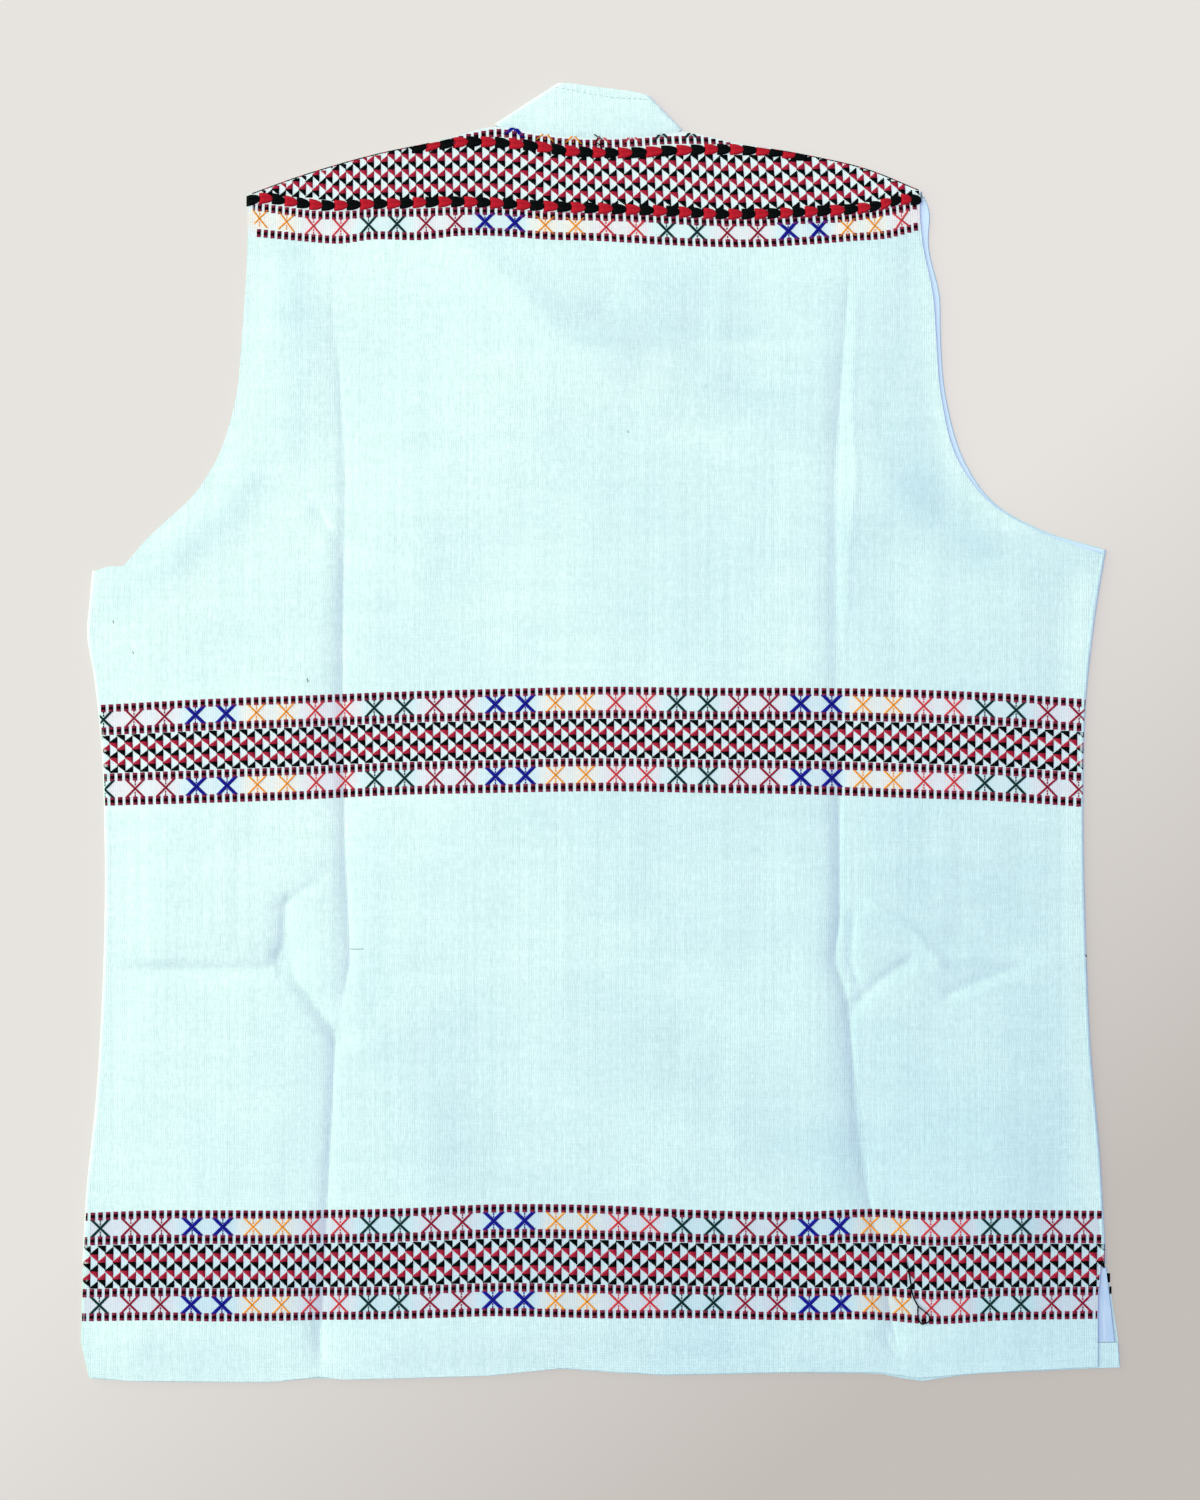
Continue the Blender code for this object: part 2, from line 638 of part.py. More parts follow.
def make_braid(name, centre_line):
    """A row of overlapping leaves: one section carried along the centre line, swelling with each."""
    length = np.hypot(*np.diff(np.array(centre_line), axis=0).T).sum()
    leaves = round(length / LEAF)
    stations = smooth_curve(centre_line, leaves * len(LEAF_WIDTHS) + 1)
    swell = BRAID_HALF_WIDTH * np.resize(LEAF_WIDTHS, len(stations))
    high = np.minimum(stations[:, 1] + swell, top_y(stations[:, 0]) - BRAID_EDGE_MARGIN)
    low = stations[:, 1] - swell
    wide = high - low > BRAID_LEAST_WIDTH
    x, high, low = stations[wide, 0], high[wide], low[wide]
    across, rise = np.array(BRAID_SECTION).T
    y = (high + low)[:, None] / 2 + (high - low)[:, None] / 2 * across
    z = np.broadcast_to(BACK_TOP + GAP + rise, y.shape)
    points = np.stack([np.broadcast_to(x[:, None], y.shape), y, z], axis=2)
    rings, around = y.shape
    ring = np.arange(rings - 1)[:, None] * around
    k = np.arange(around)
    after = (k + 1) % around
    faces = np.stack([ring + k, ring + after, ring + around + after, ring + around + k], axis=2)
    faces = faces.reshape(-1, 4).tolist()
    faces.append(list(range(around))[::-1])
    faces.append([(rings - 1) * around + i for i in range(around)])
    mesh = bpy.data.meshes.new(name)
    mesh.from_pydata((points.reshape(-1, 3) * MM).tolist(), [], faces)
    mesh.flip_normals()
    mesh.shade_smooth()
    finish(bpy.data.objects.new(name, mesh), "braid_yarn")


def clear_scene():
    for obj in list(bpy.data.objects):
        bpy.data.objects.remove(obj, do_unlink=True)


def main():
    clear_scene()
    bpy.context.scene.collection.children.link(bpy.data.collections.new(COLLECTION))
    make_front("front_left", LEFT, NECK_LEFT, -1)
    make_front("front_right", RIGHT, NECK_RIGHT, 1)
    make_lining()
    make_turned_hem()
    back_edge = make_back()
    make_collar(back_edge)
    make_braid("yoke_braid_lower", LOWER_BRAID)
    make_braid("yoke_braid_upper", UPPER_BRAID)


main()
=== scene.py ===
"""Sleeveless band-collar waistcoat of handloom cloth, laid flat with its back up.

Sizes are in millimetres and become metres when a mesh is made. X runs to the wearer's right, Y runs
up the garment to its collar, and Z leaves the surface that it lies on. The cloth is made as thin
shells over the solids' own curves, and every coloured weft float of the woven bands is a small
raised strand of its own.
"""

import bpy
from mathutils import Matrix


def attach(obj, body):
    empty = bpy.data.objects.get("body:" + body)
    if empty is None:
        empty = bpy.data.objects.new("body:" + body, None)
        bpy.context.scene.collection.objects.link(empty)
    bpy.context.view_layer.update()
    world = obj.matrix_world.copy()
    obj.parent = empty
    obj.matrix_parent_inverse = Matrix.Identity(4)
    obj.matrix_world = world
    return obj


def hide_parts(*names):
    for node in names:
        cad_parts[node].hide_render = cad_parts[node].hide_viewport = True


bl_info = {
    "name": "Handloom waistcoat",
    "version": (1, 0, 0),
    "blender": (4, 5, 0),
    "location": "3D View > Sidebar > Waistcoat",
    "description": "A waistcoat of handloom cloth with woven bands, laid flat with its back up",
    "category": "Add Mesh",
}

import math
from collections import namedtuple
from functools import partial

import bpy
import numpy as np
from bpy.props import FloatProperty, FloatVectorProperty, PointerProperty
from mathutils import Vector

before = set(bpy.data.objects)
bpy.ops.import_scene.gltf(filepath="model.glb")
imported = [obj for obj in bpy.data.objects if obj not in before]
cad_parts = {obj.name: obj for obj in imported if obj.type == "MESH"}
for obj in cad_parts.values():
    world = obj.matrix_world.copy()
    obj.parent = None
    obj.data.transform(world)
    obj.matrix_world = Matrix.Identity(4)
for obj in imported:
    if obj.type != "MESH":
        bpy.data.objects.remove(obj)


def table(columns, *rows):
    """Rows of numbers, kept as one array for each of the named columns."""
    return namedtuple("Table", columns)(*np.array(rows, float).T)


def edges(*rows):
    """Points of the back's edge and of the front's own outer edge beside it."""
    return table("back_x back_y front_x front_y", *rows)


MM = 0.001
# Walls, and the gap between neighbours.
CLOTH = 1.0
COLLAR_WALL = 2.0
GAP = 0.3

# Levels of the layers, and the round of a side fold that spans them all.
LINING_LEVEL = CLOTH + GAP
BACK_LEVEL = LINING_LEVEL + CLOTH + GAP
BACK_TOP = BACK_LEVEL + CLOTH
COLLAR_TOP = BACK_LEVEL + COLLAR_WALL
SIDE_RADIUS = BACK_TOP / 2
COLLAR_RADIUS = COLLAR_TOP / 2

# The fronts: how far each passes the centre, and the ramp that lifts the right one over the left.
LAP = 12.0
RAMP = 12.0
RAMP_START = LAP + 1.0
LEAST_COLUMN = 2.0
SHOULDER_TURN = 3.0

# The lining stops short of the front edge, the neckline, the vent and the outer edge above it.
LINING_INSET = 17.0
LINING_NECK_INSET = 4.0
LINING_VENT_INSET = 2.5
LINING_VENT_TOP = 0.6
LINING_EDGE_INSET = 0.6
LINING_SEAM_INSET = 0.1
HEM_INSET = 0.4

# The front neckline is a quarter of an ellipse on each side, and the collar stands along it.
NECK_FRONT_Y = 256.0
NECK_LEFT = (-60.1, 344.9)
NECK_RIGHT = (46.7, 342.0)
NECK_STEPS = 9
BAND_HEIGHT = 30.0
BAND_LEFT_TOP = (-24.6, 369.8)
BAND_RIGHT_TOP = (28.2, 362.5)
BAND_END_GAP = 0.5

# How the back lies: a low plateau that rises inside its edges, and a flat, closely woven yoke.
PLATEAU = 1.5
SIDE_FADE = 32.0
RIGHT_FADE = 56.0
HEM_FADE = 24.0
YOKE_START = 245.0
YOKE_FADE = 40.0

# The runs of each side from the hem up. A run starts where the one below it ends.
Run = namedtuple("Run", "name steps edges")
LEFT_SIDE = (
    Run("hem", 1, edges(
        (-290.7, -366.5, -291.3, -367.6), (-295, -346.5, -296.1, -346.8),
    )),
    Run("vent", 3, edges(
        (-293.9, -325, -295.6, -325), (-291.8, -302, -295, -302),
    )),
    Run("seam", 20, edges(
        (-289.7, -260, -292.7, -260), (-284.9, -215, -287.9, -215), (-281.1, -158, -284.1, -158),
        (-279.4, -60, -282.4, -60), (-281.7, -1, -284.7, -1), (-285.9, 35, -288.9, 35),
        (-288.7, 57, -292.3, 56), (-283, 77.5, -290.8, 76), (-271.6, 94.9, -289.3, 92.3),
    )),
    Run("armhole", 16, edges(
        (-258.5, 110, -262, 99), (-246.5, 121.4, -244.5, 117), (-234, 132.8, -231, 129.5),
        (-218.6, 155.6, -214.5, 154), (-208.3, 187, -204.5, 187), (-203.8, 230, -200.3, 230),
        (-200.9, 281, -197.5, 281), (-201.2, 306.1, -199.7, 305.4),
    )),
)
RIGHT_SIDE = (
    Run("hem", 1, edges(
        (283, -360.5, 296.1, -361.6), (283, -346.5, 295, -346.8),
    )),
    Run("vent", 3, edges(
        (283.1, -325, 291.7, -325), (284.9, -302, 288.1, -302),
    )),
    Run("seam", 20, edges(
        (281.7, -243, 284.7, -243), (275.9, -175, 279, -175), (273, -112, 276.4, -112),
        (271.8, -32, 275.2, -32), (273.3, 19, 276.7, 19), (276.6, 53, 280.2, 53),
        (279.2, 76, 283.3, 76), (285, 102, 288.1, 104.3),
    )),
    Run("armhole", 16, edges(
        (250.5, 114.3, 250.5, 116), (219.7, 132.8, 221.9, 133.6), (203.2, 155.6, 207.2, 155.6),
        (194.1, 189.8, 197.2, 189.8), (190.7, 229.7, 193.8, 229.7), (189.5, 246.8, 193.5, 246.8),
        (183, 281, 186.9, 281), (181.8, 295.3, 187.5, 297), (182.1, 308.7, 183.3, 308.2),
    )),
)

# The hem from left to right: the back's edge, and the front's, which shows below it in places.
HEM = table(
    "x back_y front_y",
    (-291, -366.5, -367.6), (-268.8, -368.6, -369.4), (-209.5, -369.2, -370),
    (-187.2, -369.2, -370), (-159.9, -366.2, -367.2), (-147.3, -368, -368.7),
    (-64.7, -365.7, -366.4), (-21.9, -361.4, -362), (34.5, -365, -366), (113.7, -363.5, -364.4),
    (159.3, -363.7, -365), (181, -367, -369.6), (210.6, -364.4, -365.2), (283, -360.5, -361.9),
    (296.1, -360.4, -361.6),
)

# The shoulder seams and the shallow neck seam between them.
TOP = table(
    "x y",
    (-201.2, 306.1), (-171.3, 316.9), (-130.2, 328.9), (-91.5, 337.2), (-60.1, 344.9),
    (-51.6, 345.2), (-38.5, 342.3), (-16.2, 340), (18.5, 339.2), (46.7, 342), (73.8, 336.3),
    (113.7, 329.7), (153.6, 320.3), (182.1, 308.7),
)

# The upper edge of the collar over the back, from its right fold to its left.
COLLAR_EDGE = ((21.0, 364.3), (11.1, 365.9), (-6.0, 368.0), (-16.2, 369.4))

# The two pressed creases: where each stands at each height, a steep wall on its right side, and
# how deep each is.
CREASES = table(
    "y left_x right_x",
    (-366, -160, 172), (-266, -155.3, 153), (-221, -153, 147), (-175, -150.8, 142.6),
    (-155, -147, 141.6), (-129, -142.3, 133.3), (-107, -143.4, 136), (-61, -145.6, 136),
    (30, -146.7, 135.4), (76, -146.3, 133.8), (144, -145.2, 133.8), (190, -147.3, 136.4),
    (235, -151, 139.6), (310, -155, 145),
)
CREASE_LEFT = table(
    "y depth",
    (-366, 2), (-205, 2.3), (-176, 2.3), (-160, 0.2), (-138, 2), (-84, 2.5), (60, 2.4), (104, 2.4),
    (116, 1.3), (200, 1.1), (240, 0.2), (310, 0.2),
)
CREASE_RIGHT = table(
    "y depth",
    (-366, 1.8), (-270, 1.8), (-220, 2.4), (-84, 2.3), (-30, 2.3), (60, 1.6), (178, 1.8), (220, 1),
    (310, 0.8),
)
CREASE_FALL = 4.8
CREASE_RISE = 26.0
CREASE_LIP = 1.3
CREASE_LIP_SHARE = 0.22
CREASE_ROUND = 0.5

# Softer folds: each is a straight ridge, or a trough where its height is negative.
Fold = namedtuple("Fold", "x0 y0 x1 y1 height width")
FOLDS = (
    Fold(-72, 270, 5, 215, 1.3, 16), Fold(5, 215, 110, 185, 0.8, 18),
    Fold(165, 175, 200, 128, -1.2, 12), Fold(200, 128, 250, 105, -0.9, 10),
    Fold(-222, 134, -160, 112, 1, 10), Fold(-283, -130, -184, -133, -0.8, 12),
    Fold(128, -250, 124, -30, 0.7, 16),
)

# Billows: one cycle in this many millimetres across and along, its phase and its height.
Billow = namedtuple("Billow", "across along phase height")
BILLOWS = (
    Billow(310, 520, 0.6, 0.45), Billow(-190, 260, 2.1, 0.3), Billow(150, -230, 4, 0.2),
)

# The lines along which the arrow braids run.
LOWER_BRAID = table(
    "x y",
    (-199.4, 303), (-192.4, 304.2), (-177, 302.4), (-162.7, 300.5), (-128.5, 301), (-74.4, 302.2),
    (-31.6, 299.8), (28.2, 297.4), (76.7, 295.2), (119.4, 296.7), (156.5, 299.8), (172.4, 303.6),
    (180.6, 303.2),
)
UPPER_BRAID = table(
    "x y",
    (-106, 333), (-74.4, 336.4), (-45.9, 334.9), (-14.5, 330.9), (8.3, 330), (45.3, 331.5),
    (76.7, 332), (105.2, 330), (118, 327.6),
)

# How many of the scene's rows and columns go into one step of the solids' own runs.
FINE = 5

# Where the back's columns lie beside a side edge and beside a crease, and how many steps there are
# between these. Then where its extra rows at the hem and the shoulders lie, as shares of a row.
EDGE_COLUMNS = (0.0, 0.3, 1.0, 2.5)
CREASE_COLUMNS = (
    -20.0, -15.0, -11.0, -8.0, -5.5, -3.8, -2.4, -1.2, -0.4, 0.2, 0.8, 1.5, 2.4, 3.6, 5.5, 9.0,
)
BETWEEN_COLUMNS = (34, 66, 34)
EDGE_ROWS = (0.1, 0.35)

# Creases that the solids leave out. Each is a bent line with a wall on either side: the left wall
# is the one on the left of someone who walks along it. A negative height is a trough, and a power
# of one makes a pressed crease, of two a soft roll.
Crinkle = namedtuple("Crinkle", "height power left_wall right_wall points")
CRINKLES = (
    Crinkle(-2, 1, 9, 2.8, ((-179.8, -102), (-180.3, -118), (-181.9, -129))),
    Crinkle(-2.7, 1, 9, 3.4, ((-181, -132), (-149.6, -173.2))),
    Crinkle(-0.9, 1, 1.2, 2.6, ((-159.5, -83.8), (-181.7, -99))),
    Crinkle(1.1, 1, 1.4, 4, ((157, -98.6), (162.7, -102.6), (178.7, -112.3), (183.8, -119.7),
            (193.5, -129.4))),
    Crinkle(-0.5, 1, 1.4, 1.4, ((139, -101), (146.5, -105.8), (173.8, -115.5))),
    Crinkle(-0.8, 1, 1.3, 2, ((143.4, -105.5), (143, -118), (142.4, -131), (146.8, -142))),
    Crinkle(-1.4, 1, 1.4, 4, ((142.6, -155.6), (148, -150.5), (158, -140.5), (173.5, -130.5))),
    Crinkle(-1.5, 1, 3.8, 1.6, ((200, -148.5), (226, -138), (244.7, -131.5))),
    Crinkle(0.9, 1, 3, 2.2, ((193.5, -129.4), (215, -127.5), (238, -133.5), (258, -131), (280, -130))),
    Crinkle(-1, 1, 7, 7, ((204, -112), (236, -127))),
    Crinkle(-2, 1, 2.4, 7, ((-283, -133.5), (-252, -134.3), (-225, -134), (-190, -133.5))),
    Crinkle(2, 1, 36, 40, ((-70, 280), (-48, 258), (-24, 232), (-10, 225), (30, 224))),
    Crinkle(0.5, 1, 2, 3, ((145.8, 245), (142.7, 184), (145.8, 149), (141.7, 108), (140.7, 72))),
    Crinkle(-1.2, 1, 7, 3, ((2, 240), (20, 232.5), (34, 228.5), (56, 226.5))),
    Crinkle(-0.9, 1, 7, 3, ((58, 211.5), (72, 207), (88, 203.5))),
    Crinkle(-0.7, 1, 8, 4, ((-20, 172), (30, 170), (80, 176))),
    Crinkle(0.9, 2, 9, 12, ((182, 172), (192, 148), (212, 126), (240, 112))),
    Crinkle(-1.6, 1, 5, 9, ((-220, 140), (-196, 128), (-171, 116), (-162, 113))),
    Crinkle(-1.5, 1, 1.2, 3.5, ((-159.9, 125.4), (-154.2, 115.7), (-147.3, 108.3))),
    Crinkle(-1.2, 1, 1.5, 4, ((162.7, -342.6), (171.9, -364))),
    Crinkle(-0.7, 1, 2, 2.5, ((22, -340), (28, -363))),
    Crinkle(-0.7, 1, 2, 2.5, ((-162, -334), (-157, -366))),
)
CRINKLE_END = 5.0

# Painted shade where the cloth lies in its own soft shade, and painted light where a negative
# height makes it less shaded than about it, in patches of a crinkle's shape: a height here is a
# share of the change from the lit tone to the painted shade.
PAINTED_SHADING_PATCHES = (
    Crinkle(0.34, 1, 50, 4, ((-72, 280), (-48, 258), (-24, 231), (-8, 224), (48, 223))),
    Crinkle(0.22, 2, 15, 15, ((64, 207), (88, 190))),
    Crinkle(0.44, 2, 14, 12, ((-176, 276), (-174, 238))),
    Crinkle(0.24, 2, 13, 12, ((-176, 215), (-174, 165))),
    Crinkle(0.34, 2, 10, 12, ((-196, 140), (-214, 119), (-235, 103), (-274, 76))),
    Crinkle(0.12, 2, 32, 32, ((-112, 200), (-112, 115))),
    Crinkle(0.36, 2, 18, 18, ((150, 110), (168, 130), (170, 168))),
    Crinkle(0.32, 2, 15, 13, ((184, 140), (194, 121), (214, 105))),
    Crinkle(-0.28, 2, 14, 14, ((109, 85), (109, 45))),
    Crinkle(0.36, 2, 30, 30, ((-84, -182), (-84, -250))),
    Crinkle(0.18, 2, 10, 9, ((-131, -60), (-131, -178))),
    Crinkle(0.14, 2, 30, 30, ((-245, -222), (-200, -205))),
    Crinkle(-0.6, 2, 14, 14, ((279, 80), (279, -60), (282, -170), (288, -280))),
    Crinkle(-0.4, 2, 8, 9, ((192, 280), (194, 200), (199, 165), (208, 143), (232, 122))),
)
# How far the back may sink below its seams: less on the right, where the lining lies below it.
LOWEST_SOFT = -0.25
LOWEST_LEFT = -1.35
LOWEST_START = -60.0
LOWEST_RUN = 40.0

# Where the back's grid is twice as fine: heights, and reaches across on the row through them.
FINE_HEIGHTS = (-175.0, -80.0)
FINE_REACHES = ((-190.0, -148.0), (136.0, 202.0))

# The small unevenness of cloth woven by hand: one ripple in so many millimetres, and its height.
RIPPLES = (
    Billow(47, 330, 0.4, 0.07), Billow(-29, 170, 1.9, 0.05), Billow(260, 41, 3.3, 0.06),
    Billow(23, -95, 5, 0.03),
)

# The right side seam draws the cloth down, and the left one does so only below the armhole. Then
# the gap that is left at a seam, and how far the cloth on one side of it runs under the other.
SEAM_DIP = 0.22
SEAM_DIP_WIDTH = 1.5
SEAM_GAP = 0.03
SEAM_LAP = 0.4
SEAM_RISE = 0.03
UNDERARM_DIP = 0.22
UNDERARM_SEAM = 74.0
UNDERARM_RUN = 14.0

# The upper and the lower edge of the woven bands of the waist and the hem.
WAIST_SPANS = table(
    "x top bottom",
    (-276.7, 16.3, -41.2), (-216.9, 19.5, -39.5), (-171.3, 21.1, -37.9), (-114.3, 23.4, -35.2),
    (-57.3, 25, -34), (-0.3, 26.2, -33.1), (56.7, 25.6, -34), (113.7, 25.6, -34.8),
    (170.7, 24.8, -36.8), (227.7, 22.5, -38.8), (276.2, 19.1, -42.2),
)
HEM_SPANS = table(
    "x top bottom",
    (-293.8, -273.2, -334.7), (-256.8, -271.7, -333.9), (-216.9, -271.5, -334.6),
    (-171.3, -271.6, -334.1), (-114.3, -270.4, -333.2), (-57.3, -268, -331.5),
    (-0.3, -268.6, -332.7), (56.7, -271.4, -332.8), (113.7, -272.3, -334), (153.6, -270.8, -333.5),
    (187.8, -272.2, -336.1), (227.7, -271.3, -334), (273.3, -271.8, -333.4),
)

# Where the warp has drifted to at some of the crosses: the number of the cross and its place
# across the cloth in the upper and in the lower row.
WAIST_DRIFT = table(
    "cross upper lower",
    (1, -265.4, -264.7), (5, -195.7, -195.1), (9, -128.8, -128.5), (13, -59.9, -59.8),
    (17, 8.6, 8.8), (21, 78.3, 78.5), (25, 149.2, 149.2), (29, 218.5, 218.5), (32, 272.3, 272.1),
)
HEM_DRIFT = table(
    "cross upper lower",
    (1, -267.2, -267.8), (5, -197.6, -198.2), (9, -131.3, -132), (13, -60.8, -61.3),
    (17, 10.1, 10.1), (21, 82.6, 82.3), (25, 153.4, 154.4), (29, 221.9, 221.5), (32, 274.9, 274.3),
)

# The lines of a wide band, as shares of its height from its upper edge.
BandLines = namedtuple("BandLines", "dashes crosses triangles")
WAIST_LINES = BandLines(
    ((0.0, 0.073), (0.224, 0.300), (0.685, 0.760), (0.920, 1.0)), (0.147, 0.840), (0.307, 0.6775),
)
HEM_LINES = BandLines(
    ((0.0, 0.072), (0.222, 0.300), (0.705, 0.780), (0.928, 1.0)), (0.147, 0.855), (0.308, 0.700),
)
WIDE_BAND_ROWS = 5
WIDE_BAND_CROSSES = 33
CROSS_COLUMNS = 4
# Columns drawn past a band's ends, which its outline then cuts off.
SPARE_COLUMNS = 3

# The yoke's lines: its last row of triangles, the pitch of those rows, the dashes below the lower
# braid, the crosses, the last dashes, and how far the warp leans over at a full lean's height.
YOKE_LINES = table(
    "x triangles pitch dashes crosses edge lean",
    (-199.8, 306.7, 4.27, 299.8, 293.3, 285, 1.1), (-182.7, 305.2, 4.33, 297.5, 291.6, 283.3, 0.9),
    (-167.9, 304.8, 4.39, 295.3, 289, 281.9, 0.6), (-148.5, 302.6, 4.35, 294.4, 287.8, 280.7, 0),
    (-130.2, 303, 4.35, 295.8, 289.3, 283, 0), (-102.9, 303.5, 4.35, 296.1, 289.8, 282.7, -0.6),
    (-80.1, 303.9, 4.36, 297, 290.9, 285.1, -0.6), (-57.3, 303.7, 4.39, 296.7, 290.8, 285, -0.3),
    (-31.1, 301.4, 4.36, 294.4, 289, 283, 0), (-0.3, 299.2, 4.36, 293.7, 288, 282.1, -1.3),
    (28.2, 299.9, 4.42, 292.7, 286.4, 280.4, -1.4), (56.7, 297.5, 4.56, 291, 285, 279, -1.8),
    (90.9, 297.5, 4.47, 290.7, 284.7, 278.7, -2.3), (113.7, 298.7, 4.39, 291.8, 286.1, 279.9, -2.3),
    (142.2, 300.1, 4.33, 293.3, 287.7, 282.1, -1.7), (163.9, 304, 4.33, 296.7, 289.8, 283.9, -1.7),
    (177.6, 305.5, 4.33, 299.8, 293.5, 287.6, -1.7),
)
YOKE_LEAN_HEIGHT = 28.5
YOKE_TRIANGLE_ROWS = 7
YOKE_CROSSES = 23
YOKE_DRIFT = table(
    "cross upper lower",
    (0, -194.1, -194.1), (4, -132, -132), (8, -65.8, -65.8), (12, 3.1, 3.1), (16, 72.1, 72.1),
    (20, 140.5, 140.5), (22, 171.3, 171.3),
)
# The dashes at the neck seam, and the columns and crosses that lie near it.
YOKE_TOP_DASHES = table(
    "x y",
    (-74.4, 338.6), (-57.3, 341.4), (-40.2, 338.3), (-31.6, 337.2), (-20.2, 336), (23.1, 336),
    (39.6, 337.2), (79.5, 336.9),
)
NECK_COLUMNS = (27, 66)
NECK_CROSSES = slice(9, 16)
NECK_CROSS_RISE = 4.7
YOKE_DASH_HEIGHT = 4.4

# The other panels' bands: where they show along the shoulder seams, every so many threads a red
# one, and two scraps at the right side, from x0 to x1 and from y0 down to y1.
SHOULDER_REACHES = ((-200.5, -98.0), (97.0, 180.0))
SHOULDER_STEP = 2.4
SHOULDER_RED = 4
VENT_TOP = -304.0
EDGE_SCRAPS = (
    (288.0, 290.4, -307.8, -312.7, "black"),
    (289.8, 291.2, -315.2, -319.2, "black"),
)
SCRAP_PITCH = 0.51

# Loose thread ends and dark flecks: yarn, radius, how far they lie above the cloth, and their way.
Thread = namedtuple("Thread", "tone radius lift points")
LOOSE_THREADS = (
    Thread("black", 0.4, 0.3, (
        (173.6, -300.5), (175.3, -306.4), (176.1, -311.5), (177.8, -320.6), (180.4, -325.8),
    )),
    Thread("black", 0.36, 0.3, (
        (180.4, -325.8), (180.4, -330.9), (181.3, -334.6), (183.0, -336.2), (185.0, -334.6),
    )),
    Thread("black", 0.36, 0.6, (
        (180.4, -325.8), (184.3, -329.0), (186.9, -331.6), (186.3, -334.9), (183.6, -335.5),
        (182.4, -333.4),
    )),
    Thread("dusk", 0.3, 0.5, ((276.0, -126.2), (276.6, -127.4))),
    Thread("dusk", 0.3, 0.5, (
        (-3.6, 340.5), (-1.6, 338.6), (-2.7, 336.2), (-0.6, 334.6), (0.9, 331.8),
    )),
    Thread("dusk", 0.22, 0.4, ((-1.2, 339.6), (0.8, 337.0), (-1.6, 333.8))),
    Thread("slub", 0.18, -0.2, ((-142.8, -122.9), (-138.8, -123.0), (-134.8, -122.9))),
    Thread("slub", 0.2, -0.1, ((-277.4, 63.9), (-276.9, 62.4))),
    Thread("slub", 0.2, -0.1, ((-266.1, 46.4), (-265.6, 44.9))),
    Thread("slub", 0.22, -0.1, ((-166.9, 31.2), (-166.3, 28.9))),
    Thread("slub", 0.2, -0.1, ((15.4, 171.9), (16.1, 170.6))),
)
THREAD_RINGS = 24
THREAD_SIDES = 6

# The ground within the bands, plain and beside the crosses of each colour.
PLAIN_GROUND = "E2F1F4"
GROUND_TINTS = {
    "green": "D3EDF0", "crimson": "E6E2E9", "blue": "D0E9F1", "orange": "F2EADF", "coral": "EBE1E6",
}
TINT_HALF = 4.0
TINT_FADE = 2.5
TINT_SPREAD = 0.25
FAR_OUTSIDE = -9.0
# Painted shade: how light that ground is painted at the left and at the right end of each band,
# falling off to the right and from band to band down the garment, as the light does.
YOKE_PAINTED_LIGHT = ((1.0, 1.0, 1.0), (0.95, 0.95, 0.95))
WAIST_PAINTED_LIGHT = ((0.97, 0.97, 1.0), (0.85, 0.86, 0.92))
HEM_PAINTED_LIGHT = ((0.78, 0.85, 0.94), (0.65, 0.73, 0.82))
WIDEST = 290.0
YOKE_EDGE_ABOVE = 10.5
YOKE_CROSS_SHARE = 0.55

# One float of pattern weft: how wide and high it stands, and how its ends dive into the cloth.
FLOAT_HALF = 0.34
CROSS_HALF = 0.40
FLOAT_RISE = 0.36
FLOAT_SINK = 0.03
FLOAT_DIVE = 0.12
DIVE_SHARE = 0.3
LEAST_FLOAT = 0.35
OUTLINE_MARGIN = 0.6
# A float's eight points: its start, two sets of edge, ridge and edge, and its end. Then its faces.
RIDGE = [2, 5]
FLOAT_TRIANGLES = [[0, 1, 2], [0, 2, 3], [7, 5, 4], [7, 6, 5]]
FLOAT_QUADS = [[1, 4, 5, 2], [2, 5, 6, 3]]
FLOAT_UNDERSIDE = [[0, 3, 6, 7, 4, 1]]

# The figures of the bands, in picks of the pattern weft.
DASH_PICKS = ("maroon",) * 3 + ("dusk",) * 4 + ("maroon",) * 3
DASH_HALF_COLUMN = 0.32
HALF_COLUMN = 0.5
TRIANGLE_PICKS = 6
TRIANGLE_HEIGHT = 0.80
TRIANGLE_SIDE = 0.2
TRIANGLE_HALF = 0.46
TRIANGLE_WIDTH = 1.16
TRIANGLE_POINT = 6.5
TRIANGLE_START = 0.2
CROSS_PICK = 0.525
CROSS_ROWS = 9
CROSS_STEP = 0.122
CROSS_FLOATS = {"green": 0.23, "crimson": 0.19, "blue": 0.32, "orange": 0.15, "coral": 0.18}
DOT_FLOAT = 0.10
CROSS_DOTS = (-8, -7, -5, -4, 4, 5, 7, 8)
CROSS_CYCLE = ("green", "crimson", "blue", "orange", "coral")
YOKE_FIRST_PAIR = 3

# The arrow braids: where some of the leaves start.
LOWER_LEAVES = table(
    "number x",
    (0, -201.5), (4, -173), (8, -144.5), (12, -114.3), (16, -85.2), (20, -55.6), (24, -24.8),
    (28, 6.3), (32, 37.3), (36, 65.3), (40, 94.9), (44, 123.1), (48, 153), (51, 170.7), (53, 182.1),
)
UPPER_LEAVES = table(
    "number x",
    (0, -107.4), (4, -76.1), (8, -44.2), (12, -12.3), (16, 17.4), (20, 51.3), (24, 80.7),
    (28, 110.3), (29, 117.1),
)
